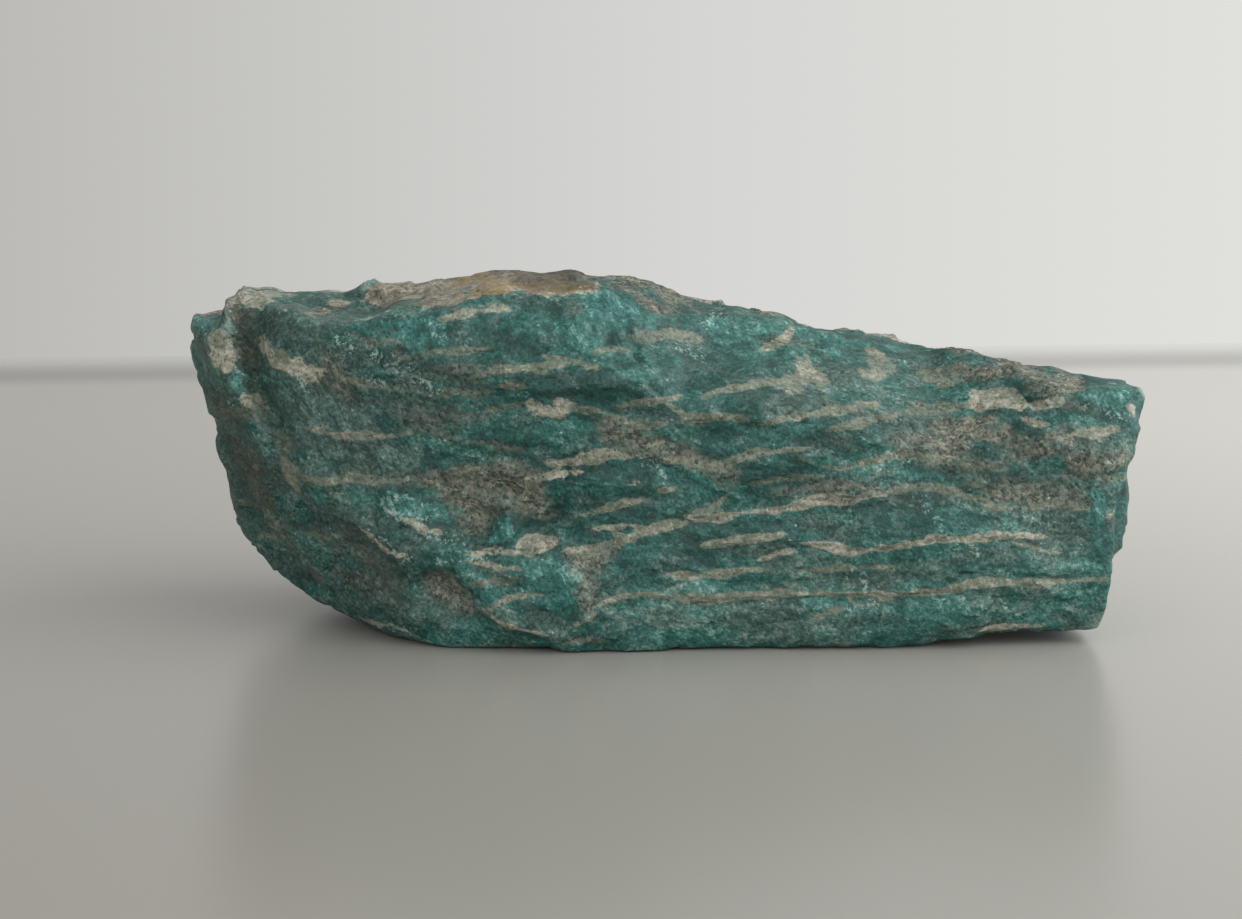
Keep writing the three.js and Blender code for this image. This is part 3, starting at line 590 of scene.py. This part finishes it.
# Blows and thin edges have crushed it to white specks: half width and line.
CRUSHED = (
    (1.1, ((-30.4, 29.2), (-29.4, 28.5), (-28.8, 28.2))),
    (1.2, ((-27.2, 28.4), (-26.0, 27.4), (-25.0, 26.5))),
    (1.2, ((-23.4, 26.3), (-22.2, 25.3), (-20.7, 24.3))),
    (0.7, ((-35.6, 26.0), (-34.6, 25.1), (-33.9, 24.2))),
    (0.6, ((-27.6, 26.0), (-26.8, 25.5), (-26.1, 25.2))),
    (0.9, ((-21.7, 30.4), (-21.0, 29.7), (-20.6, 29.0))),
    (0.8, ((-27.0, 13.8), (-25.4, 14.3), (-24.1, 14.4), (-22.7, 14.1))),
    (0.8, ((-25.8, 13.1), (-24.6, 12.5), (-23.4, 12.2), (-22.1, 12.4))),
    (0.7, ((-23.6, 11.5), (-22.6, 11.3), (-21.2, 10.8), (-19.8, 10.5), (-18.7, 10.6))),
    (0.5, ((-29.4, 11.8), (-28.0, 11.3), (-26.6, 10.7), (-25.8, 10.2))),
    (0.6, ((-25.8, 9.6), (-24.8, 9.2), (-23.8, 8.9))),
    (0.5, ((-21.0, 8.6), (-19.8, 8.6), (-18.7, 9.2), (-17.9, 9.6), (-17.0, 9.1), (-15.4, 8.6))),
    (0.4, ((-21.0, 8.6), (-20.3, 7.5))),
    (0.8, ((-27.2, 1.4), (-25.7, 1.6), (-24.7, 1.3), (-23.7, 1.0))),
    (0.4, ((-22.4, 5.7), (-21.7, 5.6), (-20.9, 5.6))),
    (0.8, ((27.4, 10.6), (28.9, 10.3), (30.1, 9.5))),
    (0.8, ((24.4, 14.4), (25.4, 13.3), (26.3, 12.1), (26.8, 11.2))),
    (0.9, ((17.6, 8.3), (18.4, 7.2), (19.2, 6.1))),
    (0.6, ((17.9, 4.4), (19.0, 4.1), (20.0, 4.3), (20.6, 4.7))),
    (0.4, ((32.0, 4.8), (32.8, 4.1))),
    (0.5, ((34.4, 2.4), (35.4, 1.4))),
    (0.7, ((-1.8, 18.5), (-0.8, 17.9), (-0.1, 17.3), (0.5, 16.6))),
    (0.35, ((-0.4, 7.9), (1.1, 7.4), (2.2, 7.1), (3.7, 7.2))),
    (0.3, ((-2.9, 15.6), (-1.6, 16.4))),
    (0.6, ((4.2, 29.6), (5.3, 30.2), (6.2, 30.4))),
    (0.6, ((1.6, 28.0), (2.9, 27.6), (4.0, 27.0))),
    (0.6, ((40.4, 22.6), (43.0, 21.8), (44.6, 21.8))),
)
crushed = np.full(len(x), -1.0)
for half_width, line in CRUSHED:
    crushed = np.maximum(crushed, 1.0 - to_line(line)[0] / half_width)
hidden_crushed = ease(cloud((4.5, 4.5, 1.8), 12.9, 2), 0.15, 0.55) * 1.4 - 0.9
crushed = crushed * front + hidden_crushed * (1.0 - front)

# Painted shade: darker colour laid where shade falls, on the face of the low step on the left, in
# the groove between the ribs and on the left end. The patch on the crest's top is the rock's own
# darker colour.
PAINTED_SHADE_AND_DARK_ROCK = (
    ((-30.4, 12.0), (-28.6, 11.4), (-26.4, 9.6), (-24.6, 6.6), (-23.8, 3.6), (-25.6, 4.0),
     (-27.4, 7.0), (-30.2, 9.8)),
    ((-41.6, 31.2), (-39.4, 31.2), (-38.7, 28.6), (-38.9, 25.4), (-40.3, 25.8), (-40.8, 28.0)),
    ((-44.8, 24.4), (-42.4, 23.4), (-39.4, 19.8), (-37.6, 15.4), (-37.4, 11.0), (-41.0, 11.4),
     (-43.0, 17.0)),
    ((-14.3, 33.7), (-12.7, 33.4), (-10.8, 33.3), (-9.1, 33.4), (-7.6, 33.8), (-7.6, 36.0),
     (-14.3, 36.0)),
)
painted_shade_and_dark_rock = patches(PAINTED_SHADE_AND_DARK_ROCK, 0.9)

# Weathering has left a beige and brown crust on the crest, stained orange by iron in places.
CRUST = (
    ((-32.3, 31.0), (-29.4, 31.2), (-26.2, 31.8), (-23.0, 32.0), (-19.6, 32.2), (-17.0, 33.0),
     (-13.2, 33.1), (-12.7, 32.6), (-11.0, 32.5), (-9.6, 32.9), (-8.0, 33.2), (-6.6, 33.8),
     (-6.6, 37.0), (-27.6, 37.0), (-27.6, 33.0), (-30.2, 31.8)),
    ((-34.0, 31.0), (-31.0, 31.1), (-27.0, 31.7), (-26.0, 32.6), (-27.6, 32.3), (-30.0, 31.9),
     (-33.0, 31.6)),
)
STAINED = (
    ((-19.8, 32.8), (-15.3, 33.0), (-13.2, 33.1), (-11.0, 32.8), (-8.6, 33.2), (-7.6, 33.7),
     (-13.8, 33.9), (-15.0, 34.2), (-19.6, 34.2)),
)
crust = patches(CRUST, 0.5)
on_crest = 0.9 * upward - 0.45 * ease(x, -6.0, 12.0) - 0.45
hidden_crust = ease(cloud((16.0, 14.0, 12.0), 90.3, 3) + on_crest, 0.0, 0.45)
crust = np.maximum(crust, hidden_crust * (1.0 - front))
hidden_stain = 0.6 * ease(cloud((9.0, 9.0, 6.0), 71.5), 0.2, 0.6) * hidden_crust
stain = patches(STAINED, 0.7) + hidden_stain * (1.0 - front)

# Painted light: the foot of the broad face and its lower right are painted a little paler and
# greyer, for the light that the table throws up onto the lower faces.
LOWER_RIGHT = ((26.0, 16.6), (36.0, 17.4), (43.6, 17.0), (43.2, 9.4), (36.0, 8.2), (28.0, 9.6))
painted_light_low = ease(-z, -12.0, -4.0) * ease(x, -27.0, -12.0) * front
painted_light_low = np.maximum(painted_light_low, 0.75 * patches((LOWER_RIGHT,), 2.2))

mesh = bpy.data.meshes.new("amazonite_stone")
stone.to_mesh(mesh)
stone.free()
mesh.shade_smooth()
mesh.set_sharp_from_angle(angle=math.radians(CRISP_ANGLE))
FIELDS = {
    "sheet": sheet,
    "paleness": paleness,
    "granular": granular,
    "turquoise": turquoise,
    "deep": deep,
    "painted_shade_and_dark_rock": painted_shade_and_dark_rock,
    "crushed": crushed,
    "crust": crust,
    "stain": stain,
    "clean": clean,
    "left": ease(-x, 14.0, 30.0) * front,
    "painted_light_low": painted_light_low,
    "proud": proud,
}
for name, values in FIELDS.items():
    field = mesh.attributes.new(name, "FLOAT", "POINT")
    field.data.foreach_set("value", values.astype(np.float32))


def linear(hex_colour):
    """An sRGB hex colour as the linear RGBA that Blender's sockets take."""
    parts = [int(hex_colour[i:i + 2], 16) / 255 for i in (1, 3, 5)]
    return [p / 12.92 if p <= 0.04045 else ((p + 0.055) / 1.055) ** 2.4 for p in parts] + [1.0]


def add_node(tree, kind, links=None, stops=None, **settings):
    """Adds a node: its settings, its socket values or links by socket, and a ramp's stops."""
    node = tree.nodes.new(kind)
    for name, value in settings.items():
        setattr(node, name, value)
    for socket, value in (links or {}).items():
        if isinstance(value, bpy.types.NodeSocket):
            tree.links.new(value, node.inputs[socket])
        else:
            node.inputs[socket].default_value = value
    if stops:
        ramp = node.color_ramp.elements
        while len(ramp) < len(stops):
            ramp.new(0.5)
        for element, (position, colour) in zip(ramp, stops):
            element.position = position
            element.color = linear(colour)
    return node


# Rough feldspar, as it broke: a satin, slightly clear stone of small crystals. Clean cleavage
# shines a little; granular and weathered parts are dull.
feldspar = bpy.data.materials.new("rough_broken_feldspar")
feldspar.use_nodes = True
tree = feldspar.node_tree
tree.nodes.clear()
spot = add_node(tree, "ShaderNodeTexCoord").outputs["Object"]
level = {
    name: add_node(tree, "ShaderNodeAttribute", attribute_name=name).outputs["Fac"]
    for name in FIELDS
}

# Patterns: the size of a lump in mm along x, y and z, how it is turned, and its fineness. The
# grain of the real stone goes down to 0.1 mm; it is drawn at 0.2 to 0.35 mm, the least that shows.
PATTERNS = {
    "bands": ((7.5, 6.0, 2.4), (0.0, 0.06, 0.0), 4.0, 0.55),
    "clouds": ((5.0, 4.0, 3.4), (0.5, 0.3, 0.7), 3.0, 0.55),
    "mottle": ((1.15, 1.15, 0.85), (0.1, 0.1, 0.4), 4.0, 0.65),
    "ragged": ((0.75, 0.75, 0.6), (0.2, -0.1, 0.3), 2.0, 0.55),
    "grain": ((0.34, 0.34, 0.30), (0.9, 0.2, 0.5), 3.0, 0.7),
    "traces": ((0.55, 1.8, 2.4), (0.0, -0.42, 0.0), 5.0, 0.66),
}
# Broken grains: each cell is one chip or crystal, and has its own shade. The size of a cell in
# mm, how it is turned, how far its edges bend, and how its edges are cut.
CELLS = {
    "pane": ((6.5, 4.5, 2.2), (0.1, 0.08, 0.2), 0.25, "EUCLIDEAN"),
    "chip": ((2.4, 1.9, 1.15), (0.2, 0.22, 0.3), 0.45, "MANHATTAN"),
    "crystal": ((0.42, 0.42, 0.34), (0.7, 0.5, 0.2), 0.3, "EUCLIDEAN"),
    "glint": ((0.20, 0.20, 0.20), (0.3, 0.8, 0.6), 0.0, "EUCLIDEAN"),
}
sized = {}
for name, (size, turn, *_) in {**PATTERNS, **CELLS}.items():
    sized[name] = add_node(tree, "ShaderNodeMapping",
                           {"Vector": spot, "Rotation": turn, "Scale": [s * MM for s in size]},
                           vector_type="TEXTURE").outputs[0]
for name, (_, _, detail, roughness) in PATTERNS.items():
    level[name] = add_node(tree, "ShaderNodeTexNoise", {
        "Vector": sized[name], "Scale": 1.0, "Detail": detail, "Roughness": roughness,
    }).outputs[0]
for name, (_, _, bend, metric) in CELLS.items():
    wobble = add_node(tree, "ShaderNodeTexNoise",
                      {"Vector": sized[name], "Scale": 1.6, "Detail": 2.0}).outputs["Color"]
    bent = add_node(tree, "ShaderNodeVectorMath", {0: wobble, 1: (bend,) * 3, 2: sized[name]},
                    operation="MULTIPLY_ADD").outputs[0]
    cells = add_node(tree, "ShaderNodeTexVoronoi", {"Vector": bent, "Scale": 1.0}, distance=metric)
    level[name] = add_node(tree, "ShaderNodeSeparateColor", {0: cells.outputs["Color"]}).outputs[0]
    level[name + "_off"] = cells.outputs["Distance"]
    level[name + "_own"] = cells.outputs["Color"]

# Mixtures: each adds up weight x (level - middle), and then its own start. The middle of a pattern
# or a cell is 0.5, and that of a field is 0.
MIXTURES = {
    # In the green: painted highlight on proud edges and painted shade in hollows.
    "green": (0.345, (("bands", 1.0), ("clouds", 0.4), ("mottle", 0.55), ("grain", 1.1),
                      ("chip", 0.13), ("crystal", 0.13), ("pane", 0.16), ("traces", 0.35),
                      ("deep", -0.1), ("proud", 0.6), ("painted_light_low", 0.12))),
    "clear": (0.33, (("traces", 2.0), ("mottle", 0.6), ("bands", 0.4), ("grain", 1.1),
                     ("chip", 0.16))),
    "dull": (0.5, (("crystal", 0.5), ("grain", 1.3), ("mottle", 0.8), ("bands", 0.5))),
    "greyed": (0.44, (("crystal", 0.3), ("grain", 1.2), ("mottle", 0.5), ("bands", 0.4),
                      ("pane", 0.14), ("painted_light_low", 0.1))),
    "albite": (0.13, (("paleness", 0.6), ("mottle", 0.7), ("grain", 0.9), ("crystal", 0.2),
                      ("clouds", 0.6), ("chip", 0.16))),
    "crusty": (0.5, (("mottle", 1.2), ("bands", 1.3), ("grain", 0.9), ("crystal", 0.15),
                     ("painted_shade_and_dark_rock", -0.32))),
    "weathered": (0.5, (("clouds", 1.0), ("mottle", 0.9), ("bands", -0.9), ("grain", 0.4),
                        ("turquoise", -0.2), ("pane", 0.22), ("left", 0.24), ("deep", -0.22),
                        ("painted_light_low", 0.11))),
    "streaked": (0.5, (("traces", 1.0), ("clean", 0.08), ("left", 0.05), ("clouds", 0.3))),
    "cracked": (0.5, (("traces", -1.0), ("clean", 0.14), ("left", 0.05), ("ragged", 0.3))),
    "near_sheet": (0.0, (("sheet", 1.0), ("mottle", 3.0), ("bands", 3.0))),
    "near_grain": (0.0, (("granular", 1.0), ("mottle", 3.6), ("grain", 2.0), ("bands", 2.5))),
    "sheet_edge": (0.0, (("sheet", 1.0), ("ragged", 0.55), ("mottle", 0.4), ("grain", 0.3),
                         ("chip", 0.14))),
    "crushed_edge": (0.0, (("crushed", 0.7), ("ragged", 2.0), ("grain", 3.6), ("traces", 2.4))),
    "clear_edge": (0.0, (("turquoise", 1.0), ("mottle", 1.4), ("traces", 0.8))),
    "crust_edge": (0.0, (("crust", 1.0), ("mottle", 1.6), ("bands", 1.0))),
    "stain_edge": (0.0, (("stain", 1.0), ("mottle", 1.8), ("grain", 0.6))),
    "painted_shade_and_dark_rock_edge": (0.0, (("painted_shade_and_dark_rock", 1.0), ("mottle", 1.0), ("ragged", 0.4))),
    "rubbed": (0.0, (("proud", 1.0), ("mottle", 0.25), ("grain", 0.25))),
    "glinting": (0.5, (("glint", 1.0), ("mottle", 0.3), ("clouds", 0.3), ("turquoise", 0.02))),
    "pitted": (0.5, (("glint", 1.0), ("mottle", 0.2), ("granular", 0.014))),
    "height": (0.5, (("grain", 0.5), ("mottle", 0.9), ("crystal_off", -0.35), ("chip", 0.2),
                     ("traces", 0.15))),
}
PATTERN_MIDDLE = 0.5
for name, (start, parts) in MIXTURES.items():
    total = start
    for part, weight in parts:
        middle = 0.0 if part in FIELDS else PATTERN_MIDDLE
        scaled = add_node(tree, "ShaderNodeMath", {0: level[part], 1: weight, 2: -weight * middle},
                          operation="MULTIPLY_ADD").outputs[0]
        total = add_node(tree, "ShaderNodeMath", {0: scaled, 1: total}, operation="ADD").outputs[0]
    level[name] = total

# The colours of each kind of stone, from its darkest grain to its palest.
COLOURS = {
    "green": ((0.14, "#0a3a34"), (0.34, "#114b45"), (0.50, "#205f57"), (0.66, "#41746b"),
              (0.88, "#7aa298")),
    "clear": ((0.10, "#16504b"), (0.40, "#2e6c65"), (0.62, "#4c857d"), (0.85, "#8cb3aa")),
    "dull": ((0.10, "#2f3833"), (0.35, "#535a51"), (0.60, "#757265"), (0.90, "#9c937f")),
    "greyed": ((0.10, "#22352f"), (0.35, "#394e47"), (0.60, "#586b62"), (0.90, "#8c9689")),
    "albite": ((0.10, "#405248"), (0.38, "#656f60"), (0.60, "#828373"), (0.88, "#b6b1a1")),
    "crusty": ((0.10, "#3f392f"), (0.38, "#6b6557"), (0.60, "#878274"), (0.90, "#b6b2a3")),
}
kind = {}
for name, stops in COLOURS.items():
    kind[name] = add_node(tree, "ShaderNodeValToRGB", {0: level[name]}, stops=stops).outputs[0]
kind["ochre"] = linear("#8b7444")
kind["crushed"] = linear("#9db6ad")
# Bright specks: partly light grains, partly painted glints where cleavage flats catch the light.
kind["spark"] = linear("#b9d2ca")
kind["pit"] = linear("#0f211d")
# The colour of the painted shade, also used for the crest's dark rock.
kind["shade"] = linear("#323a33")

# Each layer goes over those before it: its kind of stone, the level that bounds it, the values of
# that level at which it starts and is full, and how much of what is under it it hides.
LAYERS = (
    ("greyed", "weathered", 0.52, 0.74, 0.56),
    ("crushed", "streaked", 0.70, 0.92, 0.36),
    ("pit", "cracked", 0.68, 0.90, 0.40),
    ("clear", "clear_edge", 0.35, 0.9, 0.85),
    ("greyed", "near_sheet", 0.5, -0.4, 0.32),
    ("dull", "near_grain", 0.6, -1.2, 0.85),
    ("crushed", "rubbed", 0.12, 0.34, 0.45),
    ("albite", "sheet_edge", 0.06, -0.08, 0.88),
    ("crushed", "crushed_edge", 0.55, 1.15, 0.6),
    ("crusty", "crust_edge", 0.35, 0.65, 0.95),
    ("ochre", "stain_edge", 0.4, 0.9, 0.6),
    # Painted shade, and the crest's dark rock.
    ("shade", "painted_shade_and_dark_rock_edge", 0.3, 0.9, 0.45),
    # Bright specks: light grains and painted glints.
    ("spark", "glinting", 1.03, 1.06, 0.5),
    ("pit", "pitted", 0.10, 0.06, 0.6),
)
colour = kind["green"]
for over, edge, start, end, most in LAYERS:
    amount = add_node(tree, "ShaderNodeMapRange",
                      {0: level[edge], 1: start, 2: end, 3: 0.0, 4: most},
                      interpolation_type="SMOOTHSTEP").outputs[0]
    colour = add_node(tree, "ShaderNodeMix", {0: amount, 6: colour, 7: kind[over]},
                      data_type="RGBA").outputs[2]

# Each broken grain faces a little its own way, and the finest relief is about 0.3 mm deep.
LEANS = (("chip", 0.14), ("crystal", 0.30))
RELIEF = 0.3
lean = add_node(tree, "ShaderNodeNewGeometry").outputs["Normal"]
for name, most in LEANS:
    own = add_node(tree, "ShaderNodeVectorMath", {0: level[name + "_own"], 1: (0.5, 0.5, 0.5)},
                   operation="SUBTRACT").outputs[0]
    lean = add_node(tree, "ShaderNodeVectorMath", {0: own, 1: (most,) * 3, 2: lean},
                    operation="MULTIPLY_ADD").outputs[0]
lean = add_node(tree, "ShaderNodeVectorMath", {0: lean}, operation="NORMALIZE").outputs[0]
bump = add_node(tree, "ShaderNodeBump", {
    "Height": level["height"], "Strength": 0.5, "Distance": RELIEF * MM, "Normal": lean,
})
# Clean cleavage has a satin shine, and granular places are duller.
dullness = add_node(tree, "ShaderNodeMapRange",
                    {0: level["near_grain"], 1: 2.5, 2: -0.5, 3: 0.5, 4: 0.75}).outputs[0]
surface = add_node(tree, "ShaderNodeBsdfPrincipled", {
    "Base Color": colour, "Roughness": dullness, "IOR": 1.53, "Normal": bump.outputs[0],
})
add_node(tree, "ShaderNodeOutputMaterial", {0: surface.outputs[0]})

mesh.materials.append(feldspar)
amazonite = bpy.data.objects.new("amazonite_stone", mesh)
bpy.context.scene.collection.objects.link(amazonite)
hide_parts("amazonite")
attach(amazonite, "root")

# ------------------------------------------------------------------------------------------------
# The table: a pale laminate top with a slight gloss. Its back edge shows behind the stone as a soft
# dark line, a painted shadow, and what lies past the line is the foot of the wall. Lengths here are
# in metres.

# The line slants: how far back it is at its left and right, EDGE_REACH to each side of the stone.
LINE_LEFT = 0.171
LINE_RIGHT = 0.240
EDGE_REACH = 0.31
EDGE_SLOPE = (LINE_RIGHT - LINE_LEFT) / (2 * EDGE_REACH)
EDGE_MIDDLE = (LINE_LEFT + LINE_RIGHT) / 2
LINE_WIDTH = 0.018
FOOT = 0.028
TABLE_HALF = 1.2
TABLE_FRONT = -1.6

top = bmesh.new()
bmesh.ops.create_grid(top, x_segments=1, y_segments=1, size=1.0)
for vert in top.verts:
    back = EDGE_MIDDLE + FOOT + EDGE_SLOPE * vert.co.x * TABLE_HALF
    vert.co.x *= TABLE_HALF
    vert.co.y = back if vert.co.y > 0 else TABLE_FRONT
table_mesh = bpy.data.meshes.new("table_top")
top.to_mesh(table_mesh)
top.free()

# Laminate: a smooth pressed sheet, pale and faintly glossy, so that it mirrors the stone softly.
laminate = bpy.data.materials.new("pale_laminate")
laminate.use_nodes = True
tree = laminate.node_tree
tree.nodes.clear()
ground = add_node(tree, "ShaderNodeSeparateXYZ",
                  {0: add_node(tree, "ShaderNodeTexCoord").outputs["Object"]})
to_right = ground.outputs[0]
to_back = ground.outputs[1]
from_edge = add_node(tree, "ShaderNodeMath", {0: to_right, 1: -EDGE_SLOPE, 2: to_back},
                     operation="MULTIPLY_ADD").outputs[0]
# Parts of the table: what tells them apart, where each starts and is full, and how much it covers.
PARTS = {
    # Painted light: the top is lighter towards the window and towards the back, as the window's
    # light falls on it.
    "window_side": (to_right, -0.06, 0.10, 1.0),
    "far": (to_back, -0.12, 0.16, 1.0),
    # A painted shadow: the soft dark line along the back edge.
    "line": (from_edge, EDGE_MIDDLE - LINE_WIDTH, EDGE_MIDDLE, 0.42),
    "foot": (from_edge, EDGE_MIDDLE, EDGE_MIDDLE + FOOT, 1.0),
}
cover = {}
for name, (measured, start, end, most) in PARTS.items():
    cover[name] = add_node(tree, "ShaderNodeMapRange",
                           {0: measured, 1: start, 2: end, 3: 0.0, 4: most},
                           interpolation_type="SMOOTHSTEP").outputs[0]
# The colours of the table and of the wall's foot, each painted darker at the left and lighter at
# the window, for the way the window's light falls.
SHADES = {
    "near": ("#93908a", "#a4a29d"),
    "far": ("#a8a6a1", "#c5c3be"),
    "foot": ("#bcbcba", "#d2d2d0"),
}
shade = {}
for name, (left, right) in SHADES.items():
    shade[name] = add_node(tree, "ShaderNodeMix",
                           {0: cover["window_side"], 6: linear(left), 7: linear(right)},
                           data_type="RGBA").outputs[2]
# The colour of the painted shadow along the back edge.
shade["line"] = linear("#3f3f3e")
table_colour = shade["near"]
for name in ("far", "line", "foot"):
    table_colour = add_node(tree, "ShaderNodeMix",
                            {0: cover[name], 6: table_colour, 7: shade[name]},
                            data_type="RGBA").outputs[2]
surface = add_node(tree, "ShaderNodeBsdfPrincipled", {
    "Base Color": table_colour, "Roughness": 0.26, "IOR": 1.55,
})
add_node(tree, "ShaderNodeOutputMaterial", {0: surface.outputs[0]})
table_mesh.materials.append(laminate)
table = bpy.data.objects.new("table_top", table_mesh)
bpy.context.scene.collection.objects.link(table)

# ------------------------------------------------------------------------------------------------
# The light: a pale room, darker on the left, with a broad soft window on the right and a pale wall
# behind the camera. The camera stands close in front of the stone and looks down at 9 degrees.

world = bpy.data.worlds.new("pale_room")
bpy.context.scene.world = world
world.use_nodes = True
tree = world.node_tree
tree.nodes.clear()
# The shades of the room, from straight left to straight right.
ROOM = ((0.0, "#8f8e8b"), (0.38, "#bcbbb8"), (0.52, "#d6d6d4"), (0.62, "#e0e0dc"), (1.0, "#f4f3f0"))
direction = add_node(tree, "ShaderNodeTexCoord").outputs["Generated"]
split = add_node(tree, "ShaderNodeSeparateXYZ", {0: direction})
rightwards = add_node(tree, "ShaderNodeMath", {0: split.outputs[0], 1: 0.5, 2: 0.5},
                      operation="MULTIPLY_ADD").outputs[0]
room = add_node(tree, "ShaderNodeValToRGB", {0: rightwards}, stops=ROOM).outputs[0]
air = add_node(tree, "ShaderNodeBackground", {0: room, 1: 1.0})
add_node(tree, "ShaderNodeOutputWorld", {0: air.outputs[0]})

# Each light: its width and height in metres, its power in watts, and its place.
STONE_MIDDLE = Vector((0.0, 0.0, 0.015))
LIGHTS = {
    "window": (0.9, 0.7, 5.0, (0.56, -0.14, 0.38)),
    "pale_wall_behind": (0.9, 0.9, 3.3, (-0.48, -0.80, 0.22)),
}
for name, (width, height, power, spot) in LIGHTS.items():
    light = bpy.data.lights.new(name, "AREA")
    light.shape = "RECTANGLE"
    light.size = width
    light.size_y = height
    light.energy = power
    lamp = bpy.data.objects.new(name, light)
    lamp.location = spot
    lamp.rotation_euler = (STONE_MIDDLE - lamp.location).to_track_quat("-Z", "Y").to_euler()
    bpy.context.scene.collection.objects.link(lamp)

CAMERA_DISTANCE = 0.25
CAMERA_TILT = math.radians(9)
AIM = Vector((-0.00374, -0.0005, 0.0156))
SENSOR_WIDTH = 36.0
FOCAL_LENGTH = 72.03
NEAREST_SEEN = 0.01
lens_data = bpy.data.cameras.new("camera")
lens_data.sensor_width = SENSOR_WIDTH
lens_data.lens = FOCAL_LENGTH
lens_data.clip_start = NEAREST_SEEN
camera = bpy.data.objects.new("camera", lens_data)
camera.location = AIM + Vector((0, -math.cos(CAMERA_TILT), math.sin(CAMERA_TILT))) * CAMERA_DISTANCE
camera.rotation_euler = (AIM - camera.location).to_track_quat("-Z", "Y").to_euler()
bpy.context.scene.collection.objects.link(camera)
bpy.context.scene.camera = camera
bpy.context.scene.view_settings.view_transform = "Standard"
